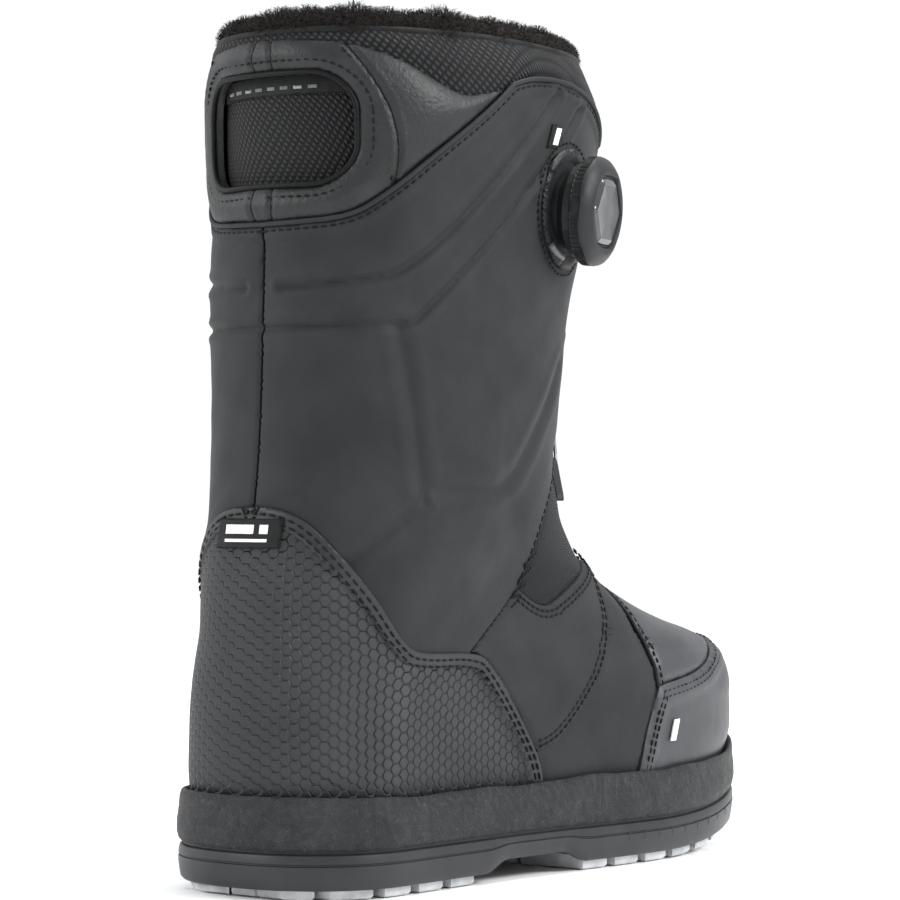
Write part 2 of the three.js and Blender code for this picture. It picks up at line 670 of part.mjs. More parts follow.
// The lace leaves the dial, crosses the tongue at each pair of guides and is tied off in
// the lowest medial guide.
function laceRoute() {
  const points = [
    lateralPoint(DIAL.along * GRADE.along + DIAL.podHalfWidth - 5, gradeUp(DIAL.up) - 10, LACE_LIFT),
    lateralPoint(DIAL.along * GRADE.along + DIAL.podHalfWidth + 4, gradeUp(DIAL.up) - 12, LACE_LIFT),
  ];
  let side = 1;
  const heights = [...GUIDE_HEIGHTS].reverse().map(gradeUp);
  heights.forEach((up, row) => {
    const reach = guideAcross(up);
    for (let step = 0; step <= 6; step += 1) {
      points.push(frontPoint(mix(side, -side, step / 6) * reach, up, LACE_LIFT));
    }
    side = -side;
    if (row < heights.length - 1) {
      const halfway = (up + heights[row + 1]) / 2;
      points.push(frontPoint(side * (guideAcross(halfway) + 2), halfway, LACE_LIFT));
    }
  });
  return new THREE.CatmullRomCurve3(points, false, 'centripetal');
}

function cordAlong(route, radius, steps) {
  const section = new THREE.Shape();
  section.absellipse(0, 0, radius, radius, 0, Math.PI * 2);
  const options = { extrudePath: route, steps, curveSegments: 4, bevelEnabled: false };
  return new THREE.ExtrudeGeometry(section, options);
}

const route = laceRoute();
const laceSpace = solid(cordAlong(route, LACE_RADIUS + CLEARANCE, LACE_STEPS));

function makeLace() {
  add('lace', 'steel', cordAlong(route, LACE_RADIUS, LACE_STEPS));
  const skin = body(-GUIDE.rise, UPPER_BASE, ABOVE).subtract(body(-CLEARANCE, 0, ABOVE + 5));
  const rise = skin.subtract(laceSpace);
  GUIDE_HEIGHTS.forEach((height, row) => {
    const up = gradeUp(height);
    for (const [side, sign] of [['lateral', 1], ['medial', -1]]) {
      const middle = -sign * guideAcross(up);
      const shape = roundedRectangle(middle, up, GUIDE.width, GUIDE.height, GUIDE.corner);
      const guide = rise.intersect(frontRegion(shape, FRONT_HALF, BEYOND));
      addCut(`guide_${side}_${row + 1}`, 'moulded', guide);
    }
  });
}

// ---------------------------------------------------------------- dial

// A turned piece: its profile is [radius, height] and closes on itself.
function turned(profile, segments = 24) {
  const points = [...profile, profile[0]].map(([radius, height]) => corner(radius, height));
  return new THREE.LatheGeometry(points, segments).rotateX(Math.PI / 2);
}

const ringProfile = (inner, outer, low, high) => [[inner, low], [outer, low], [outer, high], [inner, high]];

function dialPlace() {
  const turn = THREE.MathUtils.degToRad(DIAL.turn);
  const dip = THREE.MathUtils.degToRad(DIAL.dip);
  const level = Math.cos(dip);
  const outward = new THREE.Vector3(-Math.cos(turn) * level, -Math.sin(turn) * level, -Math.sin(dip));
  const group = new THREE.Group();
  group.position.copy(lateralPoint(DIAL.along * GRADE.along, gradeUp(DIAL.up), 0));
  group.quaternion.setFromUnitVectors(new THREE.Vector3(0, 0, 1), outward);
  group.updateMatrixWorld(true);
  return group;
}

function makePod(dial) {
  const oval = new THREE.Shape();
  oval.absellipse(0, 0, DIAL.podHalfHeight, DIAL.podHalfWidth, 0, Math.PI * 2);
  const depth = DIAL.podRise + DIAL.podRoot;
  const geometry = new THREE.ExtrudeGeometry(oval, { depth, bevelEnabled: false, curveSegments: 10 });
  geometry.translate(0, 0, DIAL.podRise - depth).applyMatrix4(dial.matrixWorld);
  const seated = solid(geometry).subtract(body(-CLEARANCE, 0, ABOVE)).subtract(laceSpace);
  addCut('dial_pod', 'moulded', seated);
}

const SKIRT_INSIDE = DIAL.baseRadius + DIAL.knobPlay;
const KNOB_RADIUS = SKIRT_INSIDE + DIAL.knobSkirt + DIAL.knurlDepth;

function knurledSection() {
  const shape = new THREE.Shape();
  for (let step = 0; step < 2 * DIAL.knurls; step += 1) {
    const angle = (Math.PI * step) / DIAL.knurls;
    const radius = KNOB_RADIUS - (step % 2) * DIAL.knurlDepth;
    const [x, y] = [radius * Math.cos(angle), radius * Math.sin(angle)];
    if (step === 0) shape.moveTo(x, y);
    else shape.lineTo(x, y);
  }
  return shape;
}

function makeDial() {
  const dial = dialPlace();
  boot.add(dial);
  makePod(dial);
  const floor = DIAL.podRise + CLEARANCE;
  const floorTop = floor + DIAL.baseFloor;
  const fused = floorTop - 0.1; // the rim and the post start inside the floor, so that they join it
  const rim = floor + DIAL.baseHeight;
  const postTop = floor + DIAL.postHeight;
  const cupRadius = DIAL.baseRadius - DIAL.baseWall;
  const running = DIAL.postRadius + CLEARANCE;
  const base = solid(turned(ringProfile(DIAL.boreRadius, DIAL.baseRadius, floor, floorTop)))
    .add(solid(turned(ringProfile(cupRadius, DIAL.baseRadius, fused, rim))))
    .add(solid(turned(ringProfile(DIAL.boreRadius, DIAL.postRadius, fused, postTop))));
  add('dial_base', 'moulded', geometryOf(base), dial);

  const spoolLow = floorTop + CLEARANCE;
  const spoolHigh = spoolLow + DIAL.spoolThickness;
  const spoolOuter = cupRadius - CLEARANCE;
  add('dial_spool', 'moulded', turned([
    [running, spoolLow],
    [spoolOuter, spoolLow],
    [spoolOuter - DIAL.spoolGroove, (spoolLow + spoolHigh) / 2],
    [spoolOuter, spoolHigh],
    [running, spoolHigh],
  ]), dial);

  const driveLow = spoolHigh + CLEARANCE;
  const driveHigh = driveLow + DIAL.driveThickness;
  add('dial_drive', 'moulded', turned(ringProfile(running, spoolOuter, driveLow, driveHigh)), dial);

  const inside = rim + CLEARANCE + DIAL.knobLift;
  const top = inside + DIAL.knobTop;
  const knobBase = top - DIAL.knobDepth;
  const outline = new THREE.ExtrudeGeometry(knurledSection(), { depth: DIAL.knobDepth, bevelEnabled: false });
  const hollow = turned(ringProfile(0, SKIRT_INSIDE, knobBase - 1, inside));
  const headRoom = turned(ringProfile(0, DIAL.screwHeadRadius + 2 * CLEARANCE, inside - 1, top + 1));
  const recess = turned(ringProfile(0, DIAL.capRadius + CLEARANCE, top - DIAL.capThickness, top + 1));
  const blank = solid(outline.translate(0, 0, knobBase));
  const knob = blank.subtract(solid(hollow)).subtract(solid(headRoom)).subtract(solid(recess));
  add('dial_knob', 'grainedRubber', geometryOf(knob), dial);

  const capBase = top - DIAL.capThickness + CLEARANCE;
  const face = DIAL.capRadius * DIAL.capTaper;
  const cap = new THREE.CylinderGeometry(face, DIAL.capRadius, DIAL.capThickness, DIAL.capSides);
  const capMiddle = capBase + DIAL.capThickness / 2;
  add('dial_cap', 'gloss', cap.rotateX(Math.PI / 2).translate(0, 0, capMiddle), dial);

  const headLow = postTop + CLEARANCE;
  const shank = DIAL.boreRadius - CLEARANCE;
  add('dial_screw', 'steel', turned([
    [0, headLow - DIAL.screwLength],
    [shank, headLow - DIAL.screwLength],
    [shank, headLow],
    [DIAL.screwHeadRadius, headLow],
    [DIAL.screwHeadRadius, headLow + DIAL.screwHeadHeight],
    [0, headLow + DIAL.screwHeadHeight],
  ], 16), dial);
}

// ---------------------------------------------------------------- labels

// A thin plate that lies on the upper: `shape` is drawn from the front or the back.
function addPlate(name, finish, region, lift) {
  const skin = body(-CLEARANCE - lift, 0, ABOVE).subtract(body(-CLEARANCE, -5, ABOVE + 5));
  addCut(name, finish, skin.intersect(region));
}

// The plate's middle is given on the drafted boot.
function badgeRegion({ along, up }) {
  const { width, height } = BADGE;
  const middle = drafted([along, up]);
  const corners = [[-width, -height], [width, -height], [width, height], [-width, height]];
  return sideRegion(corners.map(([x, y]) => corner(middle.x + x / 2, middle.y + y / 2)), 0, WIDTH);
}

function makeLabels() {
  const tag = roundedRectangle(0, gradeUp(LABEL.middle), LABEL.width, LABEL.height, 1);
  addPlate('heel_label', 'label', frontRegion(tag, BEHIND, REAR_PART), LABEL.thickness);
  addPlate('shaft_badge', 'badge', badgeRegion(SHAFT_BADGE), BADGE.thickness);
  addPlate('toe_badge', 'badge', badgeRegion(TOE_BADGE), BADGE.thickness);
}

makeOutsole();
makeCarrier();
makeCup();
makeMidsole();
makeUpper();
makeYoke();
makeTongue();
makeLiner();
makePullLoop();
makeLace();
makeDial();
makeLabels();

export default boot;
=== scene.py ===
"""A right-foot snowboard boot: a stitched synthetic upper with a padded leather collar, a liner with
a pile rim, a cupped rubber sole, and a dial on its outer side that winds a steel lace.

Shapes are drafted in millimetres, in boot coordinates: u from the heel towards the toe, w towards
the outer side, z up from the floor. model_points turns them into the frame's own axes."""

import math

import bmesh
import bpy
import numpy as np
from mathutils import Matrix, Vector
from mathutils.geometry import delaunay_2d_cdt


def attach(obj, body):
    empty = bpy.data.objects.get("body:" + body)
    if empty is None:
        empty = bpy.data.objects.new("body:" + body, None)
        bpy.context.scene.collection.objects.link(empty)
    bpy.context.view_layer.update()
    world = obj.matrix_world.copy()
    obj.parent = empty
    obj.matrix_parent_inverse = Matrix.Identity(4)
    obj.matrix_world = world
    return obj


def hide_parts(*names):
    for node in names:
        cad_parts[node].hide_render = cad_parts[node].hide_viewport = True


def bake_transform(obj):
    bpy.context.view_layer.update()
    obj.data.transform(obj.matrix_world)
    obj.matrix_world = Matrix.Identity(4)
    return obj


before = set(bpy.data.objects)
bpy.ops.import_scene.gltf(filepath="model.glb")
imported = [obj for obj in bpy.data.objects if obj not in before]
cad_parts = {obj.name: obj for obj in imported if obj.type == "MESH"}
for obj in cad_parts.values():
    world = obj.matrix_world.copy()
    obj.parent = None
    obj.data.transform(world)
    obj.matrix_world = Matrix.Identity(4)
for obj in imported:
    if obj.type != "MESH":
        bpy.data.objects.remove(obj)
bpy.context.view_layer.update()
rng = np.random.default_rng(7)

MM = 0.001
SIDES = ((1, "lateral"), (-1, "medial"))
ORIGIN_U = 45.0  # the frame's origin, from the back of the heel

# ------------------------------------------------------------------ the boot's outer surface

# Level outlines: height, back, front, length of the heel's round end, half widths at the heel
# and at the ball, length of the toe's round end.
LEVELS = np.array([
    (30, 5, 299, 40, 43, 51, 84),
    (45, 4, 303, 40, 44, 53, 84),
    (62, 4, 302, 42, 44, 53, 84),
    (76, 5, 297, 44, 44, 51, 84),
    (84, 6, 287, 46, 44, 47, 86),
    (93, 7, 252, 50, 44, 43, 84),
    (106, 8, 214, 56, 46, 42, 76),
    (122, 10, 187, 62, 49, 45, 66),
    (140, 13, 172, 70, 51, 48, 66),
    (165, 16, 162, 74, 54, 52, 68),
    (205, 18, 166, 76, 56.5, 56.5, 74),
    (250, 19, 179, 80, 59, 59, 80),
    (290, 18, 190, 84, 60, 60, 86),
    (325, 19, 194, 84, 59, 59, 86)], float)
ROUND_POWER = 2 / 2.25  # 1 would make the round ends elliptical
TOE_SPRING = 13.0
SPRING_START = 195.0
SPRING_LENGTH = 108.0
SPRING_FADE = 46.0
SOLE_TOP = 30.0
TOE_SWING = 12.0
WAIST = 3.0


def monotone_slopes(x, y):
    """Slopes at the knots that let a cubic pass through them without overshoot."""
    step = np.diff(x)[:, None]
    rise = np.diff(y, axis=0) / step
    slopes = np.zeros_like(y)
    slopes[0], slopes[-1] = rise[0], rise[-1]
    before = 2 * step[1:] + step[:-1]
    after = step[1:] + 2 * step[:-1]
    with np.errstate(divide="ignore", invalid="ignore"):
        mean = (before + after) / (before / rise[:-1] + after / rise[1:])
    slopes[1:-1] = np.where(rise[:-1] * rise[1:] > 0, mean, 0)
    return slopes


LEVEL_Z = LEVELS[:, 0]
LEVEL_SLOPES = monotone_slopes(LEVEL_Z, LEVELS[:, 1:])


def level_at(z):
    z = np.clip(z, LEVEL_Z[0], LEVEL_Z[-1])
    k = np.clip(np.searchsorted(LEVEL_Z, z, side="right") - 1, 0, len(LEVEL_Z) - 2)
    gap = (LEVEL_Z[k + 1] - LEVEL_Z[k])[..., None]
    t = (z[..., None] - LEVEL_Z[k][..., None]) / gap
    y0, y1 = LEVELS[k, 1:], LEVELS[k + 1, 1:]
    m0, m1 = LEVEL_SLOPES[k] * gap, LEVEL_SLOPES[k + 1] * gap
    rows = ((2 * t**3 - 3 * t**2 + 1) * y0 + (t**3 - 2 * t**2 + t) * m0
            + (3 * t**2 - 2 * t**3) * y1 + (t**3 - t**2) * m1)
    return [rows[..., i] for i in range(6)]


def smoothstep(t):
    t = np.clip(t, 0, 1)
    return t * t * (3 - 2 * t)


def quarter_length(a, b):
    """Length of a quarter of an ellipse."""
    h = ((a - b) / (a + b)) ** 2
    return math.pi / 4 * (a + b) * (1 + 3 * h / (10 + np.sqrt(4 - 3 * h)))


def outline_uw(share, z, inset=0.0):
    """u and w at a share of the half outline: 0 is the heel's middle and 1 the toe's. Medial
    shares are negative. A positive inset moves the outline inwards and lowers it."""
    share, z, inset = np.broadcast_arrays(*(np.asarray(value, float) for value in (share, z, inset)))
    high = z + np.maximum(inset, 0)
    back, front, heel_end, heel, ball, toe_end = level_at(high)
    middle_gap = (front - toe_end) - (back + heel_end)
    short = np.maximum(-middle_gap, 0) / 2
    heel_mid = back + heel_end - short
    toe_mid = front - toe_end + short
    side = np.maximum(toe_mid - heel_mid, 0)
    even = np.clip(side / 25, 0, 1)
    mean = (heel + ball) / 2
    heel, ball = mean + (heel - mean) * even, mean + (ball - mean) * even
    round_heel = quarter_length(heel_mid - back, heel)
    round_toe = quarter_length(front - toe_mid, ball)
    s = np.clip(np.abs(share), 0, 1) * (round_heel + side + round_toe)
    half_pi = math.pi / 2
    t = np.clip((s - round_heel) / np.maximum(side, 1e-6), 0, 1)
    waist = WAIST * np.clip((130 - z) / 60, 0, 1)
    u = heel_mid + t * side
    w = heel + (ball - heel) * smoothstep(t) - waist * np.sin(math.pi * t) ** 2 - inset
    angle = np.clip(s / round_heel, 0, 1) * half_pi
    at_heel = s < round_heel
    u = np.where(at_heel, heel_mid - (heel_mid - back - inset) * np.cos(angle) ** ROUND_POWER, u)
    w = np.where(at_heel, (heel - inset) * np.sin(angle) ** ROUND_POWER, w)
    angle = np.clip((s - round_heel - side) / round_toe, 0, 1) * half_pi
    at_toe = s > round_heel + side
    cosine = np.maximum(np.cos(angle), 0)
    u = np.where(at_toe, toe_mid + (front - inset - toe_mid) * np.sin(angle) ** ROUND_POWER, u)
    w = np.where(at_toe, (ball - inset) * cosine**ROUND_POWER, w)
    lean = TOE_SWING * np.clip((120 - high) / 60, 0, 1) * np.clip((u - 150) / 150, 0, 1) ** 2
    return u, np.sign(share + 1e-12) * w - lean


def model_points(u, w, z):
    """Curls the sole and the foot up at the toe, and turns boot coordinates into the frame's."""
    forward = np.clip((u - SPRING_START) / SPRING_LENGTH, 0, 1.1)
    fade = np.clip(1 - (z - SOLE_TOP) / SPRING_FADE, 0, 1)
    return np.stack([-w, ORIGIN_U - u, z + TOE_SPRING * forward**2 * fade], axis=-1)


def surface(share, z, inset=0.0):
    u, w = outline_uw(share, z, inset)
    return model_points(u, w, np.broadcast_to(np.asarray(z, float), u.shape))


def normals(share, z):
    step = 2e-3
    along = surface(np.clip(share + step, -1, 1), z) - surface(np.clip(share - step, -1, 1), z)
    up = surface(share, z + 0.4) - surface(share, z - 0.4)
    normal = np.cross(along, up)
    normal /= np.maximum(np.linalg.norm(normal, axis=-1, keepdims=True), 1e-9)
    point = surface(share, z)
    _, front, *_ = level_at(np.asarray(z, float))
    core = np.stack([np.zeros_like(front), ORIGIN_U - np.minimum(95, front - 40), z - 15], axis=-1)
    side = np.sign(np.sum(normal * (point - core), axis=-1, keepdims=True))
    return normal * side


def lifted(share, z, lift):
    return surface(share, z) + normals(share, z) * np.asarray(lift)[..., None]


def half_length(z):
    """Length of half the outline, heel middle to toe middle, at a height."""
    return np.interp(z, LEVEL_Z, HALF_LENGTHS)


def cloth_mm(share, z):
    """Where a point lies on the laid-out cloth: millimetres round from the heel, and up."""
    front = smoothstep((np.abs(share) - 0.45) / 0.3)
    up = z * (1 - front) + np.interp(z, MERIDIAN_Z, MERIDIAN) * front
    return np.stack([share * half_length(z), up], axis=1)


def share_at(u, z, side=1):
    """The share of the outline where it reaches u."""
    u, z = np.broadcast_arrays(np.asarray(u, float), np.asarray(z, float))
    low, high = np.zeros(u.shape), np.ones(u.shape)
    for _ in range(26):
        middle = (low + high) / 2
        ahead = outline_uw(middle, z)[0] > u
        high = np.where(ahead, middle, high)
        low = np.where(ahead, low, middle)
    return side * (low + high) / 2


def height_at(u, share):
    """The height at which the toe's outline reaches u at a share of its length."""
    low, high = np.full(len(share), 70.0), np.full(len(share), 112.0)
    for _ in range(26):
        middle = (low + high) / 2
        ahead = outline_uw(share, middle)[0] > u
        low = np.where(ahead, middle, low)
        high = np.where(ahead, high, middle)
    return (low + high) / 2


def share_across(w, z):
    """The share of the front half of the outline that lies w across."""
    w, z = np.broadcast_arrays(np.asarray(w, float), np.asarray(z, float))
    low, high = np.full(w.shape, 0.6), np.ones(w.shape)
    for _ in range(26):
        middle = (low + high) / 2
        inside = outline_uw(middle, z)[1] < np.abs(w)
        high = np.where(inside, middle, high)
        low = np.where(inside, low, middle)
    return np.where(w < 0, -1.0, 1.0) * (low + high) / 2


MERIDIAN_Z = np.arange(0, 345, 0.5)
MERIDIAN = np.concatenate([[0], np.cumsum(np.hypot(0.5, np.diff(level_at(MERIDIAN_Z)[1])))])
PLANE_WIDTH = 300.0
HALF_OUTLINES = [np.array(outline_uw(np.linspace(0, 1, 200), np.full(200, z))) for z in LEVEL_Z]
HALF_LENGTHS = [np.hypot(*np.diff(outline, axis=1)).sum() for outline in HALF_OUTLINES]


def to_plane(line, toe=False):
    """(share, z) to a flat plane with about equal steps in both directions."""
    share = np.sign(line[:, 0] + 1e-12) * (1 - np.abs(line[:, 0])) if toe else line[:, 0]
    return np.stack([share * PLANE_WIDTH, np.interp(line[:, 1], MERIDIAN_Z, MERIDIAN)], axis=1)


def from_plane(points, toe=False):
    share = points[:, 0] / PLANE_WIDTH
    if toe:
        share = np.where(share < 0, -1.0, 1.0) * (1 - np.abs(share))
    return np.stack([share, np.interp(points[:, 1], MERIDIAN, MERIDIAN_Z)], axis=1)


# ------------------------------------------------------------------ lines on the surface


def rounded(points, rounds=2):
    """Cuts the corners of an open line."""
    points = np.asarray(points, float)
    for _ in range(rounds):
        quarter = points[:-1] * 0.75 + points[1:] * 0.25
        three = points[:-1] * 0.25 + points[1:] * 0.75
        middle = np.stack([quarter, three], axis=1).reshape(-1, 2)
        points = np.concatenate([points[:1], middle[1:-1], points[-1:]])
    return points


def densify(line, step):
    gaps = np.linalg.norm(np.diff(line, axis=0), axis=1)
    pieces = [np.linspace(a, b, max(int(math.ceil(g / step)), 1), endpoint=False)
              for a, b, g in zip(line[:-1], line[1:], gaps)]
    return np.concatenate(pieces + [line[-1:]])


LINE_STEP = 1.0


def side_line(points, side=1, rounds=2):
    """A seam drawn as (u, z) from the side, as (share, z)."""
    line = densify(rounded(points, rounds), LINE_STEP)
    return densify_share(np.stack([share_at(line[:, 0], line[:, 1], side), line[:, 1]], axis=1))


def back_line(points):
    """A line drawn as (w, z) on the back of the boot, as (share, z)."""
    points = np.asarray(points, float)
    table = np.linspace(0, 0.45, 240)
    shares = []
    for w, z in points:
        shares.append(np.sign(w) * np.interp(abs(w), outline_uw(table, np.full(240, z))[1], table))
    return densify_share(np.stack([shares, points[:, 1]], axis=1))


def densify_share(line):
    return from_plane(densify(to_plane(line), LINE_STEP))


def thinned(line, gap=0.3):
    """Drops points that lie closer than a gap to the one before them."""
    apart = np.linalg.norm(np.diff(to_plane(line), axis=0), axis=1) > gap
    return line[np.concatenate([[True], apart])]


def mirrored(line):
    return line * np.array([-1, 1])


def shifted(line, distance):
    """A line moved sideways over the surface by a distance in millimetres."""
    line = thinned(line, 0.35)
    share, z = line[:, 0], line[:, 1]
    point = surface(share, z)
    tangent = np.gradient(point, axis=0)
    for _ in range(4):
        tangent[1:-1] = (tangent[:-2] + 2 * tangent[1:-1] + tangent[2:]) / 4
    tangent /= np.maximum(np.linalg.norm(tangent, axis=1, keepdims=True), 1e-9)
    sideways = np.cross(normals(share, z), tangent) * distance
    along = (surface(share + 2e-3, z) - surface(share - 2e-3, z)) / 4e-3
    up = (surface(share, z + 0.4) - surface(share, z - 0.4)) / 0.8
    aa, bb, ab = [np.sum(p * q, axis=1) for p, q in ((along, along), (up, up), (along, up))]
    sa, sb = np.sum(sideways * along, axis=1), np.sum(sideways * up, axis=1)
    ratio = np.maximum(aa * bb - ab**2, 1e-9)
    return line + np.stack([(sa * bb - sb * ab) / ratio, (sb * aa - sa * ab) / ratio], axis=1)


def distance_to(points, line, lift=0.0):
    """Distance from each point to a (share, z) line."""
    target = lifted(line[:, 0], line[:, 1], np.full(len(line), lift))
    best = np.full(len(points), 1e9)
    for start in range(0, len(target), 60):
        gap = points[:, None, :] - target[None, start:start + 60, :]
        best = np.minimum(best, np.sqrt((gap**2).sum(axis=2)).min(axis=1))
    return best


# ------------------------------------------------------------------ mesh making


def make_object(name, points, faces, material, body="root", sharp=48, grain=None):
    mesh = bpy.data.meshes.new(name)
    mesh.from_pydata((np.asarray(points) * MM).tolist(), [], [tuple(face) for face in faces])
    mesh.materials.append(material)
    mesh.polygons.foreach_set("use_smooth", [True] * len(mesh.polygons))
    if sharp:
        mesh.set_sharp_from_angle(angle=math.radians(sharp))
    if grain is not None:
        layer = mesh.attributes.new("grain_mm", "FLOAT_VECTOR", "POINT")
        flat = np.concatenate([grain, np.zeros((len(grain), 1))], axis=1)
        layer.data.foreach_set("vector", flat.ravel())
    mesh.update()
    thing = bpy.data.objects.new(name, mesh)
    bpy.context.scene.collection.objects.link(thing)
    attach(thing, body)
    return thing


def inside(points, loops):
    """Which points lie inside an outline and outside its holes."""
    result = np.zeros(len(points), bool)
    x, y = points[:, 0], points[:, 1]
    for loop in loops:
        ends = np.roll(loop, -1, axis=0)
        for (x0, y0), (x1, y1) in zip(loop, ends):
            if y0 == y1:
                continue
            crossing = (y0 > y) != (y1 > y)
            result ^= crossing & (x < x0 + (y - y0) / (y1 - y0) * (x1 - x0))
    return result


def fill(loops, step):
    """Triangles that fill an outline with an even net of points."""
    edge_points, edges = [], []
    for loop in loops:
        start = sum(len(p) for p in edge_points)
        closed = densify(np.concatenate([loop, loop[:1]]), step)[:-1]
        keep = np.linalg.norm(closed - np.roll(closed, 1, axis=0), axis=1) > 0.05
        closed = closed[keep]
        edge_points.append(closed)
        count = len(closed)
        edges += [(start + i, start + (i + 1) % count) for i in range(count)]
    border = np.concatenate(edge_points)
    low, high = border.min(axis=0), border.max(axis=0)
    rows = np.arange(low[1], high[1], step * 0.866)
    net = []
    for i, y in enumerate(rows):
        x = np.arange(low[0] + (i % 2) * step / 2, high[0], step)
        net.append(np.stack([x, np.full(len(x), y)], axis=1))
    net = np.concatenate(net)
    net = net[inside(net, edge_points)]
    near = np.full(len(net), 1e9)
    for start in range(0, len(border), 100):
        gap = net[:, None, :] - border[None, start:start + 100, :]
        near = np.minimum(near, (gap**2).sum(axis=2).min(axis=1))
    net = net[near > (0.6 * step) ** 2]
    points = np.concatenate([border, net])
    result = delaunay_2d_cdt([Vector(p) for p in points], edges, [], 0, 1e-4)
    flat = np.array([tuple(p) for p in result[0]])
    triangles = np.array([tuple(f) for f in result[2]])
    centres = flat[triangles].mean(axis=1)
    return flat, triangles[inside(centres, edge_points)]


def border_edges(triangles):
    """Directed edges that only one triangle uses."""
    pairs = np.concatenate([triangles[:, [0, 1]], triangles[:, [1, 2]], triangles[:, [2, 0]]])
    seen = {tuple(p) for p in pairs.tolist()}
    return [(a, b) for a, b in seen if (b, a) not in seen]


def panel(name, loops, material, step=2.4, thick=2.0, lift=0.0, relief=None, toe=False, edge=0.9,
          body="root", emboss=None):
    """A piece of upper with a rounded edge. loops are (share, z) outlines: its edge, then holes.
    relief gives a further lift in millimetres from a dictionary of what is known at each point.
    emboss is the outline of the part that takes the pressed pattern."""
    flats = [to_plane(loop, toe) for loop in loops]
    flat, triangles = fill(flats, step)
    used = np.unique(triangles)
    index = np.full(len(flat), -1)
    index[used] = np.arange(len(used))
    flat, triangles = flat[used], index[triangles]
    where = from_plane(flat, toe)
    share, z = where[:, 0], where[:, 1]
    base = surface(share, z)
    rim = np.full(len(base), 1e9)
    for shape in flats:
        dense = from_plane(densify(np.concatenate([shape, shape[:1]]), 1.0), toe)
        rim = np.minimum(rim, distance_to(base, dense))
    drop = edge - np.sqrt(np.maximum(edge**2 - np.maximum(edge - rim, 0) ** 2, 0))
    height = lift - drop
    u = ORIGIN_U - base[:, 1]
    if relief is not None:
        height = height + relief({"share": share, "z": z, "u": u, "rim": rim, "point": base})
    normal = normals(share, z)
    outer = base + normal * height[:, None]
    inner = base + normal * (lift - thick)
    first = triangles[0]
    facing = np.cross(outer[first[1]] - outer[first[0]], outer[first[2]] - outer[first[0]])
    if np.dot(facing, normal[first[0]]) < 0:
        triangles = triangles[:, ::-1]
    count = len(outer)
    faces = triangles.tolist() + (triangles[:, ::-1] + count).tolist()
    faces += [(a, a + count, b + count, b) for a, b in border_edges(triangles)]
    grain = np.tile(cloth_mm(share, z), (2, 1))
    thing = make_object(name, np.concatenate([outer, inner]), faces, material, body, grain=grain)
    if emboss is not None:
        amount = np.tile(inside(where, [emboss]).astype(float), 2)
        thing.data.attributes.new("emboss", "FLOAT", "POINT").data.foreach_set("value", amount)
    return thing


def resample(line, pitch):
    """Points at an even pitch along a (share, z) line."""
    points = surface(line[:, 0], line[:, 1])
    run = np.concatenate([[0], np.cumsum(np.linalg.norm(np.diff(points, axis=0), axis=1))])
    stops = np.arange(pitch / 2, run[-1], pitch)
    return np.stack([np.interp(stops, run, line[:, 0]), np.interp(stops, run, line[:, 1])], axis=1)


STITCH = np.array([(-0.5, 0.35), (-0.3, 0.9), (0.3, 0.9), (0.5, 0.35)])  # share of length, of radius


def stitches(name, rows, material, lift=0.3, pitch=3.0, length=2.2, radius=0.42, body="root"):
    """Rows of lockstitch: each row is a (share, z) line, each stitch a short plump bead of thread."""
    points, faces = [], []
    turn = np.linspace(0, 2 * math.pi, 6, endpoint=False)
    for row in rows:
        stops = resample(row, pitch)
        if len(stops) < 2:
            continue
        share, z = stops[:, 0], stops[:, 1]
        normal = normals(share, z)
        centre = surface(share, z) + normal * lift
        tangent = np.gradient(centre, axis=0)
        tangent /= np.linalg.norm(tangent, axis=1, keepdims=True)
        across = np.cross(normal, tangent)
        for c, t, n, a in zip(centre, tangent, normal, across):
            start = len(points)
            for run, thick in STITCH:
                for angle in turn:
                    ring = a * math.cos(angle) * radius * 1.15 + n * math.sin(angle) * radius
                    points.append(c + t * run * length + ring * thick)
            for k in range(3):
                for i in range(6):
                    a, b = start + k * 6 + i, start + k * 6 + (i + 1) % 6
                    faces.append((a, b, b + 6, a + 6))
            faces.append(tuple(start + i for i in reversed(range(6))))
            faces.append(tuple(start + 18 + i for i in range(6)))
    return make_object(name, points, faces, material, body, sharp=0)


def ringed(name, profile, material, columns, rise=None):
    """A closed profile of (outward, z) points swept all round the outline of the upper's foot."""
    share = np.linspace(-1, 1, columns, endpoint=False)
    rows = []
    for outward, z in profile:
        u, _ = outline_uw(share, np.full(columns, z))
        level = np.full(columns, float(z)) + (rise(u, z) if rise else 0)
        rows.append(surface(share, level, -outward))
    count = len(rows)
    faces = []
    for r in range(count):
        s = (r + 1) % count
        for i in range(columns):
            j = (i + 1) % columns
            faces.append((r * columns + i, r * columns + j, s * columns + j, s * columns + i))
    thing = make_object(name, np.concatenate(rows), faces, material, sharp=40)
    orient(thing)
    return thing


def orient(thing):
    mesh = bmesh.new()
    mesh.from_mesh(thing.data)
    bmesh.ops.recalc_face_normals(mesh, faces=mesh.faces)
    mesh.to_mesh(thing.data)
    mesh.free()


# ------------------------------------------------------------------ materials


def linear(hex_colour):
    """An sRGB hex colour as linear RGBA."""
    values = [int(hex_colour[i:i + 2], 16) / 255 for i in (1, 3, 5)]
    return [v / 12.92 if v <= 0.04045 else ((v + 0.055) / 1.055) ** 2.4 for v in values] + [1.0]


def add_node(tree, kind, settings=None, **links):
    """Adds a node, sets its properties, and fills or links its inputs by name or index."""
    node = tree.nodes.new(kind)
    for key, value in (settings or {}).items():
        setattr(node, key, value)
    for key, value in links.items():
        numbered = key[0] == "_" and key[1:].isdigit()
        socket = node.inputs[int(key[1:]) if numbered else key.replace("_", " ")]
        if isinstance(value, bpy.types.NodeSocket):
            tree.links.new(value, socket)
        else:
            socket.default_value = value
    return node


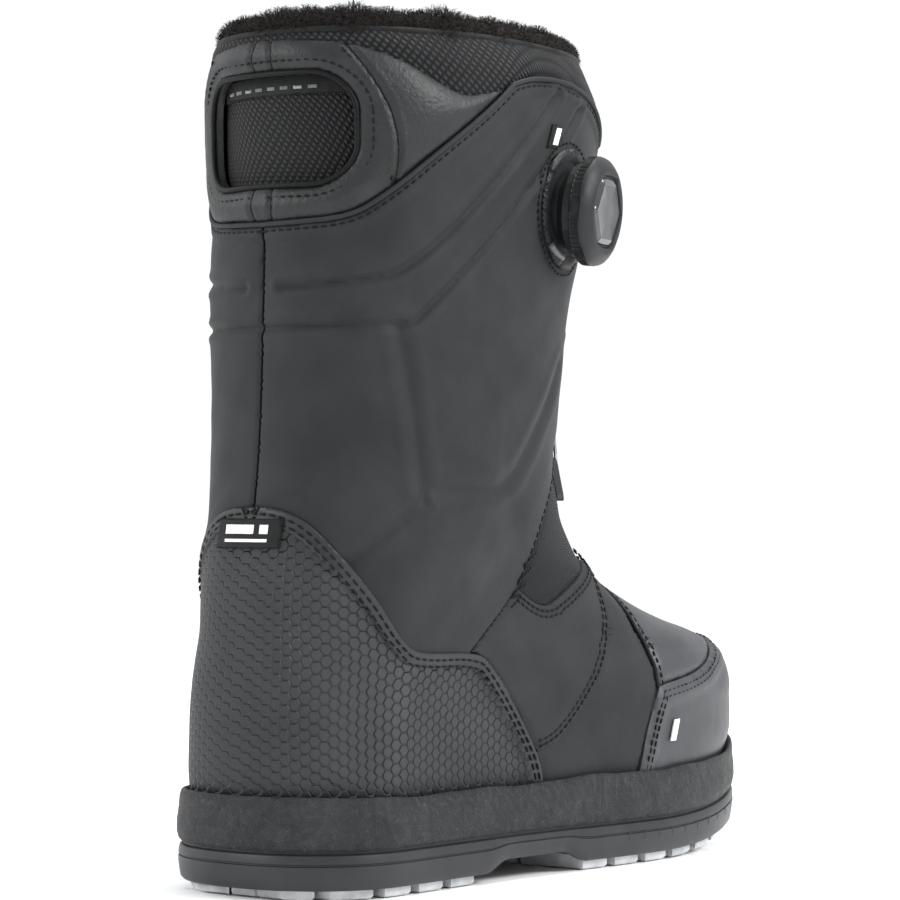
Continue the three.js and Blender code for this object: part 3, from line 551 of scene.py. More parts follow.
def start_material(name, roughness, ior=1.5, metallic=0.0, sheen=0.0, coat=0.0, specular=0.5):
    material = bpy.data.materials.new(name)
    material.use_nodes = True
    tree = material.node_tree
    shader = tree.nodes["Principled BSDF"]
    settings = {"Roughness": roughness, "IOR": ior, "Metallic": metallic, "Sheen Weight": sheen,
                "Sheen Roughness": 0.5, "Coat Weight": coat, "Specular IOR Level": specular}
    for socket, value in settings.items():
        shader.inputs[socket].default_value = value
    return material, tree, shader


def place(tree):
    return add_node(tree, "ShaderNodeTexCoord").outputs["Object"]


def cloth_place(tree):
    return add_node(tree, "ShaderNodeAttribute", {"attribute_name": "grain_mm"}).outputs["Vector"]


def mottle(tree, shader, dark, light, size_mm, detail=4.0, contrast=(0.35, 0.65)):
    """Colour that drifts between two tones over patches of about size_mm."""
    noise = add_node(tree, "ShaderNodeTexNoise", Vector=place(tree), Scale=1000 / size_mm, Detail=detail)
    ramp = add_node(tree, "ShaderNodeValToRGB", Fac=noise.outputs["Fac"])
    ramp.color_ramp.elements[0].position, ramp.color_ramp.elements[1].position = contrast
    ramp.color_ramp.elements[0].color = linear(dark)
    ramp.color_ramp.elements[1].color = linear(light)
    tree.links.new(ramp.outputs["Color"], shader.inputs["Base Color"])
    return ramp


def rough_drift(tree, shader, low, high, size_mm):
    noise = add_node(tree, "ShaderNodeTexNoise", Vector=place(tree), Scale=1000 / size_mm, Detail=3.0)
    spread = add_node(tree, "ShaderNodeMapRange", Value=noise.outputs["Fac"], To_Min=low, To_Max=high)
    tree.links.new(spread.outputs["Result"], shader.inputs["Roughness"])


def bump(tree, shader, height, depth_mm, strength=1.0, before=None):
    node = add_node(tree, "ShaderNodeBump", Height=height, Strength=strength, Distance=depth_mm * MM)
    if before is not None:
        tree.links.new(before.outputs["Normal"], node.inputs["Normal"])
    tree.links.new(node.outputs["Normal"], shader.inputs["Normal"])
    return node


def fine_noise(tree, size_mm, detail=2.0):
    noise = add_node(tree, "ShaderNodeTexNoise", Vector=place(tree), Scale=1000 / size_mm, Detail=detail)
    return noise.outputs["Fac"]


def coated_synthetic():
    """Microfibre with a matt polyurethane skin: flat grey-black, a faint dust of lighter fibre."""
    material, tree, shader = start_material("matt_coated_microfibre", 0.6, sheen=0.03, specular=0.16)
    mottle(tree, shader, "#1d1e1f", "#242527", 22)
    rough_drift(tree, shader, 0.55, 0.7, 14)
    fine = bump(tree, shader, fine_noise(tree, 1.1, 4.0), 0.13, 0.8)
    bump(tree, shader, fine_noise(tree, 6, 3.0), 0.25, 0.5, fine)
    return material


def number(tree, operation, *values):
    """One step of arithmetic on sockets and plain numbers."""
    links = {f"_{i}": value for i, value in enumerate(values)}
    return add_node(tree, "ShaderNodeMath", {"operation": operation}, **links).outputs["Value"]


HEX_PITCH = 4.4


def hexagon_cells(tree, x, y, shift):
    """Reach from the nearest plate's middle, and the plate's tilt, on one of two nets of plates."""
    wide = HEX_PITCH * math.sqrt(3)
    offsets = []
    for value, size in ((x, wide), (y, HEX_PITCH)):
        turns = number(tree, "ADD", number(tree, "DIVIDE", value, size), shift)
        left = number(tree, "SUBTRACT", turns, number(tree, "ROUND", turns))
        offsets.append(number(tree, "MULTIPLY", left, size))
    dx, dy = offsets
    tall = number(tree, "ABSOLUTE", dy)
    slant = number(tree, "MULTIPLY_ADD", number(tree, "ABSOLUTE", dx), math.sqrt(3) / 2,
                   number(tree, "MULTIPLY", tall, 0.5))
    tilt = number(tree, "SUBTRACT", number(tree, "MULTIPLY", dx, 0.3), number(tree, "MULTIPLY", dy, 0.34))
    return number(tree, "MAXIMUM", tall, slant), tilt


def embossed_synthetic():
    """The same skin pressed with columns of tilted hexagon plates: harder, slightly shinier."""
    material, tree, shader = start_material("hexagon_embossed_polyurethane", 0.42, specular=0.3)
    axes = add_node(tree, "ShaderNodeSeparateXYZ", Vector=cloth_place(tree)).outputs
    first, first_tilt = hexagon_cells(tree, axes["X"], axes["Y"], 0.0)
    second, second_tilt = hexagon_cells(tree, axes["X"], axes["Y"], 0.5)
    nearer = number(tree, "LESS_THAN", first, second)
    reach = number(tree, "MINIMUM", first, second)
    gap = number(tree, "SUBTRACT", first_tilt, second_tilt)
    tilt = number(tree, "MULTIPLY_ADD", nearer, gap, second_tilt)
    plate = add_node(tree, "ShaderNodeMapRange", {"interpolation_type": "SMOOTHSTEP"}, Value=reach,
                     From_Min=HEX_PITCH / 2, From_Max=HEX_PITCH / 2 - 0.6).outputs["Result"]
    emboss = add_node(tree, "ShaderNodeAttribute", {"attribute_name": "emboss"}).outputs["Fac"]
    tilted = number(tree, "MULTIPLY", plate, number(tree, "SUBTRACT", 0.8, tilt))
    height = number(tree, "MULTIPLY", tilted, emboss)
    tone = mottle(tree, shader, "#1e2022", "#26282a", 18)
    # The gaps between the plates (seam) are mixed towards near-black: painted shade in the pressed grooves.
    between = number(tree, "SUBTRACT", 1.0, plate)
    seam = number(tree, "MULTIPLY", between, number(tree, "MULTIPLY", emboss, 0.4))
    shade = add_node(tree, "ShaderNodeMixRGB", {"blend_type": "MIX"}, Fac=seam, Color1=tone.outputs["Color"],
                     Color2=linear("#08090a"))
    tree.links.new(shade.outputs["Color"], shader.inputs["Base Color"])
    rough_drift(tree, shader, 0.4, 0.54, 9)
    fine = bump(tree, shader, fine_noise(tree, 0.6), 0.04, 0.5)
    bump(tree, shader, height, 0.9, 1.0, fine)
    return material


def toe_synthetic():
    """Smooth rubber-faced microfibre on the toe: satin, with scuffs that catch the light."""
    material, tree, shader = start_material("smooth_rubberised_microfibre", 0.5, specular=0.4)
    mottle(tree, shader, "#2a2b2e", "#333438", 16)
    rough_drift(tree, shader, 0.4, 0.55, 10)
    fine = bump(tree, shader, fine_noise(tree, 0.7), 0.03, 0.5)
    bump(tree, shader, fine_noise(tree, 9, 2.0), 0.3, 0.4, fine)
    return material


def collar_leather():
    """Soft pigmented leather with a pebbled grain: each pebble has a small soft highlight."""
    material, tree, shader = start_material("pebbled_pigmented_leather", 0.42, specular=0.3)
    mottle(tree, shader, "#151617", "#1d1e20", 12)
    pebbles = add_node(tree, "ShaderNodeTexVoronoi", {"feature": "SMOOTH_F1"}, Vector=place(tree),
                       Scale=1000 / 1.6)
    warp = add_node(tree, "ShaderNodeMath", {"operation": "ADD"}, _0=pebbles.outputs["Distance"],
                    _1=fine_noise(tree, 0.8))
    fine = bump(tree, shader, warp.outputs["Value"], 0.24, 0.7)
    bump(tree, shader, fine_noise(tree, 11, 2.0), 0.6, 0.4, fine)
    rough_drift(tree, shader, 0.4, 0.54, 5)
    return material


def turned_cloth(tree, degrees):
    """Place on the cloth, turned so that a weave can run across it at an angle."""
    return add_node(tree, "ShaderNodeVectorRotate", Vector=cloth_place(tree),
                    Angle=math.radians(degrees)).outputs["Vector"]


def waves(tree, spacing_mm, direction, vector, distort=0.0):
    """Even ridges spacing_mm apart, across a direction of a vector in millimetres."""
    return add_node(tree, "ShaderNodeTexWave", {"wave_type": "BANDS", "bands_direction": direction},
                    Vector=vector, Scale=0.314 / spacing_mm, Distortion=distort, Detail=0.0).outputs["Fac"]


def liner_mesh():
    """Spacer knit: slanting rows of small raised knots, 3.0 by 1.9 mm apart, with painted shade darkening the
    holes between them.
    """
    material, tree, shader = start_material("spacer_knit", 0.6, sheen=0.02, specular=0.14)
    turned = turned_cloth(tree, 35)
    product = add_node(tree, "ShaderNodeMath", {"operation": "MULTIPLY"}, _0=waves(tree, 3.0, "X", turned),
                       _1=waves(tree, 1.9, "Y", turned)).outputs["Value"]
    ramp = add_node(tree, "ShaderNodeValToRGB", Fac=product)
    ramp.color_ramp.elements[0].color = linear("#040405")
    ramp.color_ramp.elements[1].color = linear("#2b2c2e")
    ramp.color_ramp.elements[1].position = 0.6
    tree.links.new(ramp.outputs["Color"], shader.inputs["Base Color"])
    bump(tree, shader, product, 0.8, 1.0)
    return material


def rib_knit():
    """Ribbed stretch webbing: fine cords 1.6 mm apart, with painted shade darkening the valleys between them.
    """
    material, tree, shader = start_material("ribbed_stretch_webbing", 0.85, sheen=0.04, specular=0.15)
    turned = turned_cloth(tree, -22)
    ribs = waves(tree, 1.6, "Y", turned)
    ramp = add_node(tree, "ShaderNodeValToRGB", Fac=ribs)
    ramp.color_ramp.elements[0].color = linear("#0c0d0e")
    ramp.color_ramp.elements[1].color = linear("#2a2b2d")
    tree.links.new(ramp.outputs["Color"], shader.inputs["Base Color"])
    bump(tree, shader, ribs, 0.45, 0.9)
    return material


def pile_fleece():
    """Short curled pile: warm black, broken into tufts that shade each other."""
    material, tree, shader = start_material("curled_pile_fleece", 0.95, sheen=0.04, specular=0.1)
    mottle(tree, shader, "#0f0e0d", "#2d2927", 1.8, 6.0, (0.3, 0.75))
    fine = bump(tree, shader, fine_noise(tree, 0.9, 5.0), 0.9, 1.0)
    bump(tree, shader, fine_noise(tree, 3.5, 4.0), 1.2, 0.8, fine)
    return material


def grained_rubber():
    """Vulcanised rubber from a leather-grained mould: running creases and a low sheen."""
    material, tree, shader = start_material("leather_grained_rubber", 0.46, ior=1.52, specular=0.28)
    mottle(tree, shader, "#202123", "#2a2b2d", 10)
    creases = add_node(tree, "ShaderNodeTexNoise", Vector=place(tree), Scale=1000 / 5.0, Detail=5.0,
                       Distortion=2.2)
    folds = number(tree, "PINGPONG", creases.outputs["Fac"], 0.07)
    fine = bump(tree, shader, folds, 7.0, 1.0)
    bump(tree, shader, fine_noise(tree, 0.8, 4.0), 0.08, 0.5, fine)
    rough_drift(tree, shader, 0.42, 0.58, 6)
    return material


def smooth_rubber():
    """Compression-moulded rubber: even, satin, with a little bloom."""
    material, tree, shader = start_material("satin_moulded_rubber", 0.42, ior=1.52, specular=0.26)
    mottle(tree, shader, "#202123", "#27292b", 20)
    rough_drift(tree, shader, 0.36, 0.5, 8)
    bump(tree, shader, fine_noise(tree, 0.8, 3.0), 0.03, 0.5)
    return material


def tread_rubber():
    """Pale grip rubber: matt, with grey scuffing where it meets the ground."""
    material, tree, shader = start_material("pale_grip_rubber", 0.7, ior=1.52, specular=0.35)
    mottle(tree, shader, "#9fa1a3", "#bfc1c3", 7, 6.0)
    bump(tree, shader, fine_noise(tree, 0.7, 4.0), 0.08, 0.6)
    return material


def moulded_nylon(name="moulded_nylon", dark="#121314", light="#1a1b1d", rough=0.46):
    """Glass-filled nylon from a fine-sparked mould: black and satin."""
    material, tree, shader = start_material(name, rough, ior=1.53, specular=0.26)
    mottle(tree, shader, dark, light, 8)
    rough_drift(tree, shader, rough - 0.06, rough + 0.08, 3)
    bump(tree, shader, fine_noise(tree, 0.35, 2.0), 0.02, 0.5)
    return material


def glossy_cap():
    """Polished polycarbonate: near black with sharp reflections and hairline scratches."""
    material, tree, shader = start_material("polished_polycarbonate", 0.14, ior=1.58, coat=0.2, specular=0.4)
    mottle(tree, shader, "#191b1d", "#26292c", 10)
    scratch = add_node(tree, "ShaderNodeTexNoise", Vector=place(tree), Scale=1600.0, Detail=6.0)
    spread = add_node(tree, "ShaderNodeMapRange", Value=scratch.outputs["Fac"], To_Min=0.1, To_Max=0.26)
    tree.links.new(spread.outputs["Result"], shader.inputs["Roughness"])
    return material


def thread():
    """Bonded polyester thread: black, twisted, with a dull gleam."""
    material, tree, shader = start_material("bonded_polyester_thread", 0.5, sheen=0.02, specular=0.12)
    mottle(tree, shader, "#050506", "#0f1011", 1.2)
    bump(tree, shader, fine_noise(tree, 0.5, 2.0), 0.08, 0.7)
    return material


def steel_cable():
    """Stainless steel strand under a clear nylon coat."""
    material, tree, shader = start_material("coated_steel_strand", 0.32, metallic=1.0, coat=0.4)
    mottle(tree, shader, "#7b7d80", "#a2a4a8", 1.0)
    bump(tree, shader, fine_noise(tree, 0.4, 2.0), 0.06, 0.8)
    return material


def woven_label():
    """Damask-woven polyester: tight black satin weave."""
    material, tree, shader = start_material("damask_woven_polyester", 0.6, sheen=0.03, specular=0.15)
    mottle(tree, shader, "#0b0b0c", "#141516", 3)
    bump(tree, shader, waves(tree, 0.6, "Y", cloth_place(tree)), 0.08, 0.8)
    return material


def printed(name="raised_silicone_print", dark="#cfd2d3", light="#e8eaea"):
    """Raised silicone print: soft-edged, off-white unless told otherwise."""
    material, tree, shader = start_material(name, 0.45, specular=0.5)
    mottle(tree, shader, dark, light, 4)
    bump(tree, shader, fine_noise(tree, 0.6, 2.0), 0.03, 0.4)
    return material


def footbed_foam():
    """Moulded foam with a knitted cover."""
    material, tree, shader = start_material("covered_moulded_foam", 0.9, sheen=0.3, specular=0.2)
    mottle(tree, shader, "#3c3f42", "#55595c", 3)
    bump(tree, shader, fine_noise(tree, 0.9, 3.0), 0.2, 0.8)
    return material


SHELL = coated_synthetic()
HEX = embossed_synthetic()
TOE = toe_synthetic()
LEATHER = collar_leather()
KNIT = liner_mesh()
RIB = rib_knit()
PILE = pile_fleece()
GRAINED = grained_rubber()
SMOOTH = smooth_rubber()
TREAD = tread_rubber()
NYLON = moulded_nylon()
PORT_NYLON = moulded_nylon("port_nylon", "#4a4c4e", "#5a5c5e", 0.4)
KNOB = moulded_nylon("overmoulded_knob_rubber", "#101112", "#17181a", 0.5)
GLOSS = glossy_cap()
THREAD = thread()
STEEL = steel_cable()
LABEL = woven_label()
PRINT = printed()
GREY_PRINT = printed("grey_silicone_print", "#5d6062", "#77797b")
FOAM = footbed_foam()

# ------------------------------------------------------------------ camera, floor and light

VIEW_OFF_REAR = math.radians(38.5)  # from straight behind towards the outer side
VIEW_DISTANCE = 1.290
EYE_HEIGHT = 0.147
AIM_U = 120  # the camera looks at this distance from the heel
SENSOR_MM, LENS_MM = 36, 132
SHIFT = (0.0165, 0.0467)  # keeps the verticals upright while the boot fills the frame

# Each light: name, where it stands, its width and its power.
LIGHTS = (("key_softbox", (-1.7, -0.5, 1.3), 0.8, 42), ("rear_softbox", (0.9, 1.7, 1.0), 0.8, 22),
          ("fill_softbox", (1.6, 0.6, 0.9), 1.4, 6), ("top_softbox", (-0.2, -0.6, 1.9), 0.9, 24))
LIT_MIDDLE = (0, -0.08, 0.16)
WORLD_STRENGTH = 1.06
FLOOR_HALF, FLOOR_Z = 6, -0.0005


def make_camera():
    data = bpy.data.cameras.new("camera")
    data.sensor_width = SENSOR_MM
    data.lens = LENS_MM
    data.shift_x, data.shift_y = SHIFT
    camera = bpy.data.objects.new("camera", data)
    aim = Vector((0, (ORIGIN_U - AIM_U) * MM, EYE_HEIGHT))
    away = Vector((-math.sin(VIEW_OFF_REAR), math.cos(VIEW_OFF_REAR), 0))
    camera.location = aim + away * VIEW_DISTANCE
    camera.rotation_euler = (math.pi / 2, 0, VIEW_OFF_REAR - math.pi)
    bpy.context.scene.collection.objects.link(camera)
    bpy.context.scene.camera = camera
    bpy.context.scene.view_settings.view_transform = "Standard"


def make_light(name, location, size, power):
    data = bpy.data.lights.new(name, "AREA")
    data.shape = "DISK"
    data.size = size
    data.energy = power
    light = bpy.data.objects.new(name, data)
    light.location = location
    light.rotation_euler = (Vector(LIT_MIDDLE) - Vector(location)).to_track_quat("-Z", "Y").to_euler()
    bpy.context.scene.collection.objects.link(light)


def make_stage():
    corners = [(x * FLOOR_HALF, y * FLOOR_HALF, FLOOR_Z) for x, y in ((-1, -1), (1, -1), (1, 1), (-1, 1))]
    mesh = bpy.data.meshes.new("floor")
    mesh.from_pydata(corners, [], [(0, 1, 2, 3)])
    material, tree, shader = start_material("pale_floor", 0.6)
    mottle(tree, shader, "#fcfcfc", "#ffffff", 400)
    mesh.materials.append(material)
    floor = bpy.data.objects.new("floor", mesh)
    bpy.context.scene.collection.objects.link(floor)
    world = bpy.data.worlds.new("studio") if not bpy.data.worlds else bpy.data.worlds[0]
    bpy.context.scene.world = world
    world.use_nodes = True
    sky = world.node_tree.nodes["Background"]
    sky.inputs["Color"].default_value = linear("#fbfcfd")
    sky.inputs["Strength"].default_value = WORLD_STRENGTH
    for light in LIGHTS:
        make_light(*light)


make_camera()
make_stage()

# ------------------------------------------------------------------ seams, as (u, z) from the side

COUNTER_OUT = [(12.5, 142), (14.5, 140.5), (18, 135), (24, 122), (40, 100), (47, 91), (55, 87.5), (88, 87),
               (98, 83), (126, 48), (131, 31)]
COUNTER_IN = [(12, 134.5), (14.5, 132.5), (18.5, 122), (33, 101), (41, 88), (49, 82.5), (88, 81.5),
              (95, 77), (119, 47), (124, 31)]
SHAFT_LOWER = [(88, 87), (103, 97), (118, 110)]
SHAFT_FRONT = [(118, 110), (122, 119), (128, 133), (138, 150), (151, 166)]
QUARTER_TOP = [(118, 110), (127, 105), (136, 102.5), (144, 105), (160, 112), (181.5, 122)]
ARC = [(127, 47), (138, 50), (152, 62), (166, 77), (174, 87), (177.5, 97), (180, 110), (181.5, 122)]
BAR_TACK = [(113, 103), (119, 107), (114, 108), (121, 112), (116, 113), (123, 118), (118, 119), (125, 124)]
TOE_REAR = [(186, 31), (191, 50), (200, 69)]
TOE_SEAM = [(200, 69), (199, 81), (198, 96), (197, 118)]
CAP_TOP = [(200, 69), (204, 70), (221, 72), (236, 75), (251, 80), (265, 84)]
YOKE_LOWER = [(18.2, 245), (29, 247), (38, 255), (56, 272), (80, 290), (91, 299)]
YOKE_UPPER = [(91, 299), (77, 295), (66, 294), (56, 298), (46, 304), (36, 309), (26, 312), (18.6, 313)]
SHAFT_TOP = [(91, 299), (101, 302), (116, 303), (132, 302), (153, 296), (171, 284)]
THROAT = [(12, 114), (18, 123), (20, 140), (21, 165), (22, 205), (23, 250), (25, 290), (28, 325)]

CREASES = [
    [(19, 222), (37, 225), (45, 229), (61, 243), (96, 276), (119, 298)],
    [(18, 207), (30, 208), (46, 208), (50, 212), (66, 228), (84, 244), (137, 294)],
    [(42, 206), (48, 178), (52, 147)],
    [(54, 148), (75, 148), (98, 149), (108, 162), (134, 196)],
    [(52, 143), (40, 134), (25, 121)],
]

# ------------------------------------------------------------------ small helpers for the pieces


def bottom(u_from, u_to, side=1, z=31.0):
    return side_line([(u_from, z), (u_to, z)], side, 0)


def throat_half(z):
    """Half the width of the throat, which the tongue closes, at a height."""
    return np.interp(z, *np.array(THROAT).T[::-1])


def throat_share(z, widen=0.0):
    return np.abs(share_across(throat_half(z) + widen, z))


def throat_line(z_from, z_to, widen=0.0):
    z = np.linspace(z_from, z_to, max(int(abs(z_to - z_from) / 3), 2))
    return np.stack([throat_share(z, widen), z], axis=1)


def join(*lines):
    return np.concatenate(lines)


def both_sides(line):
    """An outline symmetric about the middle: the lateral line, then the medial one back again."""
    return join(line, mirrored(line)[::-1])


def round_front(line):
    """A lateral line that ends at the toe's middle, and then the medial one back again."""
    return join(line, mirrored(line)[::-1][1:])


def declare(thing, nodes=()):
    if nodes:
        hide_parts(*nodes)
    return thing


def wrinkles(point, size, seed):
    """Slow, seeded unevenness between -1 and 1."""
    source = np.random.default_rng(seed)
    total = np.zeros(len(point))
    for _ in range(7):
        direction = source.normal(size=3)
        direction /= np.linalg.norm(direction)
        wavelength = size * source.uniform(0.7, 1.6)
        total += np.sin(point @ direction * 2 * math.pi / wavelength + source.uniform(0, 6.3))
    return total / 3.5


def groove(point, line, width, depth):
    """A pressed line: negative inside it, with a slight ridge on each side."""
    gap = distance_to(point, line)
    return -depth * np.exp(-(gap / width) ** 2) + 0.35 * depth * np.exp(-((gap - 2.4 * width) / width) ** 2)


def raised(point, line, width, height):
    """A doubled strip beside a line: raised, with a soft step where it ends."""
    gap = distance_to(point, line)
    return height * (1 - smoothstep((gap - width + 0.7) / 1.4))


# ------------------------------------------------------------------ heel counter


def make_counter():
    outer = side_line(COUNTER_OUT)
    inner = side_line(COUNTER_IN)
    loop = both_sides(join(outer, bottom(131, 20)))
    inner_loop = both_sides(join(inner, bottom(124, 20)))
    edge_line = both_sides(inner)

    def relief(at):
        flat = np.stack([at["share"], at["z"]], axis=1)
        field = inside(flat, [inner_loop])
        gap = distance_to(at["point"], edge_line)
        lip = 1.1 - 0.3 * np.exp(-(((at["rim"] - 3.8) / 1.3) ** 2)) - 0.5 * np.exp(-((gap / 0.6) ** 2))
        return np.where(field, 0.25 * (1 - np.exp(-gap / 4)), lip) + 0.25 * wrinkles(at["point"], 45, 3)

    cover = panel("heel_counter_cover", [loop], HEX, step=0.95, thick=2.0, lift=0.6, relief=relief, edge=0.8,
                  emboss=inner_loop)
    declare(cover, ["heel_counter_cover"])
    rows = []
    for side in (1, -1):
        line = side_line(COUNTER_OUT, side)
        for distance in (2.6, 5.0):
            rows.append(shifted(line, -side * distance))
    thread_rows = stitches("counter_stitching", rows, THREAD, lift=1.75, pitch=4.0, length=2.9, radius=0.42)
    declare(thread_rows)


# ------------------------------------------------------------------ shaft, quarters, gussets, vamp, toe


def make_shaft(side, name):
    seam = 0.0016
    lower = join(side_line(SHAFT_FRONT[::-1]), side_line(SHAFT_LOWER[::-1])[1:])
    counter_top = side_line(COUNTER_OUT[:8][::-1])
    counter_top = shifted(counter_top, 1.5)
    counter_top = counter_top[counter_top[:, 0] > seam]
    loop = join(np.array([[seam, 245.0]]), side_line(YOKE_LOWER), side_line(SHAFT_TOP)[1:],
                throat_line(282, 168), lower, counter_top, np.array([[seam, 141.0]]))
    loop = thinned(loop) * np.array([side, 1])
    top_line = join(side_line(YOKE_LOWER, side), side_line(SHAFT_TOP, side)[1:])
    creases = [side_line(c, side) for c in CREASES]
    widths, depths = (1.5, 1.4, 2.6, 2.6, 2.2), (1.5, 1.4, 1.0, 1.1, 1.2)

    def relief(at):
        calm = smoothstep(at["rim"] / 14)
        slow, quick = wrinkles(at["point"], 70, 11 + side), wrinkles(at["point"], 18, 5 + side)
        height = calm * (0.5 * slow + 0.15 * quick)
        for line, width, depth in zip(creases, widths, depths):
            height = height + groove(at["point"], line, width, depth)
        fold = distance_to(at["point"], top_line)
        height = height + 0.8 * (1 - smoothstep((fold - 5.0) / 1.2))
        soft = 1.2 * (1 - np.exp(-at["rim"] / 9.0))
        return height + soft

    shell = panel(f"shaft_panel_{name}", [loop], SHELL, step=1.45, thick=2.2, relief=relief, edge=1.2)
    declare(shell, [f"shaft_panel_{name}"])
    for part, row, lift in (("top", shifted(top_line, side * -2.6), 1.1),
                            ("front", shifted(side_line(SHAFT_FRONT, side), side * 2.2), 0.4)):
        declare(stitches(f"shaft_stitching_{part}_{name}", [row], THREAD, lift=lift, pitch=3.4, length=2.5))


def make_quarter(side, name):
    loop = join(side_line(SHAFT_LOWER), side_line(QUARTER_TOP)[1:], side_line(ARC[::-1])[1:],
                side_line(COUNTER_OUT[7:10][::-1])[1:])
    loop = thinned(loop) * np.array([side, 1])

    def relief(at):
        calm = smoothstep(at["rim"] / 16)
        return 1.0 * (1 - np.exp(-at["rim"] / 7.0)) + 0.45 * calm * wrinkles(at["point"], 40, 21 + side)

    shell = panel(f"quarter_{name}", [loop], SHELL, step=1.9, thick=2.2, lift=0.5, relief=relief, edge=1.1)
    declare(shell, [f"quarter_{name}"])
    arc, top = side_line(ARC, side), side_line(QUARTER_TOP, side)
    rows = [shifted(line, side * way * out) for line, way in ((arc, 1), (top, -1)) for out in (2.2, 4.4)]
    declare(stitches(f"quarter_stitching_{name}", rows, THREAD, lift=1.05, pitch=3.2, length=2.5))
    tack = side_line(BAR_TACK, side, 0)
    declare(stitches(f"bar_tack_{name}", [tack], THREAD, lift=0.8, pitch=2.1, length=2.3, radius=0.4))


def make_gusset(side, name):
    edge = throat_line(166, 122)
    loop = join(side_line(SHAFT_FRONT), edge, side_line(QUARTER_TOP[::-1]))
    loop = thinned(loop) * np.array([side, 1])

    def relief(at):
        return -0.6 + 0.5 * wrinkles(at["point"], 26, 31 + side)

    shell = panel(f"flex_gusset_{name}", [loop], RIB, step=2.2, thick=1.8, lift=-0.3, relief=relief, edge=0.6)
    declare(shell, [f"flex_gusset_{name}"])


def make_vamp():
    for side, name in SIDES:
        arch = share_at(131, 31)
        low = np.stack([np.linspace(share_at(186, 31), arch, 22), np.full(22, 31.0)], axis=1)
        loop = join(side_line(COUNTER_OUT[9:][::-1]), side_line(ARC)[1:], throat_line(121, 115)[1:],
                    side_line(TOE_SEAM[::-1]), side_line(TOE_REAR[::-1])[1:], low[1:-1])
        loop = thinned(loop) * np.array([side, 1])

        def relief(at, side=side):
            return 0.8 * (1 - np.exp(-at["rim"] / 7.0)) + 0.45 * wrinkles(at["point"], 32, 41 + side)

        shell = panel(f"vamp_{name}", [loop], SHELL, step=1.9, thick=2.0, lift=-0.3, relief=relief, edge=0.8)
        declare(shell, ["vamp"])


CAP_ROUND = 12.0  # how far the cap's seam runs forward round the toe


def make_toe():
    top_share = share_at(197, 114)
    across = np.stack([np.linspace(top_share, 1, 14), np.linspace(117, 115.5, 14)], axis=1)
    cap_side = side_line(CAP_TOP)
    share = np.linspace(cap_side[-1, 0], 1, 26)
    t = (share - share[0]) / (1 - share[0])
    cap_end = np.stack([share, height_at(265 + CAP_ROUND * np.sin(t * math.pi / 2), share)], axis=1)
    seam = side_line(TOE_SEAM[:3] + [(197, 113)])
    half = join(cap_side, cap_end[1:])
    box_loop = join(seam, across[1:], mirrored(across)[::-1][1:], mirrored(seam)[::-1][1:],
                    mirrored(half)[1:], half[::-1][1:-1])

    def puff(at):
        calm = smoothstep(at["rim"] / 14)
        return 1.3 * (1 - np.exp(-at["rim"] / 5.0)) + 0.4 * calm * wrinkles(at["point"], 42, 51)

    shell = panel("toe_box_panel", [box_loop], TOE, step=2.2, lift=0.2, relief=puff, toe=True, edge=1.2)
    declare(shell, ["toe_box_panel"])
    base = np.stack([np.linspace(share_at(186, 31), 1, 40), np.full(40, 31.0)], axis=1)
    edge = join(side_line(TOE_REAR), half[1:])
    edge_line = round_front(edge)
    cap_loop = join(edge_line, mirrored(base)[1:], base[::-1][1:-1])

    def cap_relief(at):
        return raised(at["point"], edge_line, 8.0, 0.7) + 0.45 * wrinkles(at["point"], 38, 61)

    cap = panel("toe_cap", [cap_loop], TOE, step=2.2, thick=2.2, lift=0.9, relief=cap_relief, toe=True,
                edge=1.4)
    declare(cap, ["toe_cap"])
    rows = [shifted(edge, -2.6), shifted(edge, -5.0)]
    rows += [mirrored(row) for row in rows]
    declare(stitches("toe_cap_stitching", rows, THREAD, lift=1.55, pitch=3.2, length=2.4))
    rows = [shifted(seam, -2.2), mirrored(shifted(seam, -2.2))]
    # A black cord along the toe seam on each side: painted shadow, standing in for the shade cast by the toe
    # box's raised rear edge.
    for side, name in SIDES:
        line = shifted(side_line(TOE_SEAM, side), side * 0.4)
        path = lifted(line[:, 0], line[:, 1], np.full(len(line), -0.1))
        declare(tube(f"toe_seam_painted_shadow_{name}", path, 0.9, LABEL))
    declare(stitches("toe_box_stitching", rows, THREAD, lift=0.7, pitch=3.0, length=2.2, radius=0.34))


# ------------------------------------------------------------------ collar yoke with its grip window


WINDOW_WIDTH, WINDOW_HEIGHT, WINDOW_MIDDLE, WINDOW_CORNER = 70, 41, 279.5, 15


def window_outline(grow=0.0, count=12):
    half_w, half_h = WINDOW_WIDTH / 2 + grow, WINDOW_HEIGHT / 2 + grow
    r = WINDOW_CORNER + grow
    points = []
    for x_sign, z_sign, start in ((1, 1, 0), (-1, 1, 90), (-1, -1, 180), (1, -1, 270)):
        middle = (x_sign * (half_w - r), z_sign * (half_h - r))
        for angle in np.radians(np.linspace(start, start + 90, count)):
            points.append((middle[0] + r * math.cos(angle), WINDOW_MIDDLE + middle[1] + r * math.sin(angle)))
    return back_line(points)


YOKE_MIDDLE = [[(3.6, 312), (4.6, 306), (4.2, 301)], [(4.2, 258), (4.8, 252), (3.8, 245)]]  # (w, z)
YOKE_ARC = [(28, 310), (33, 300), (39, 287), (42, 273), (41, 258)]


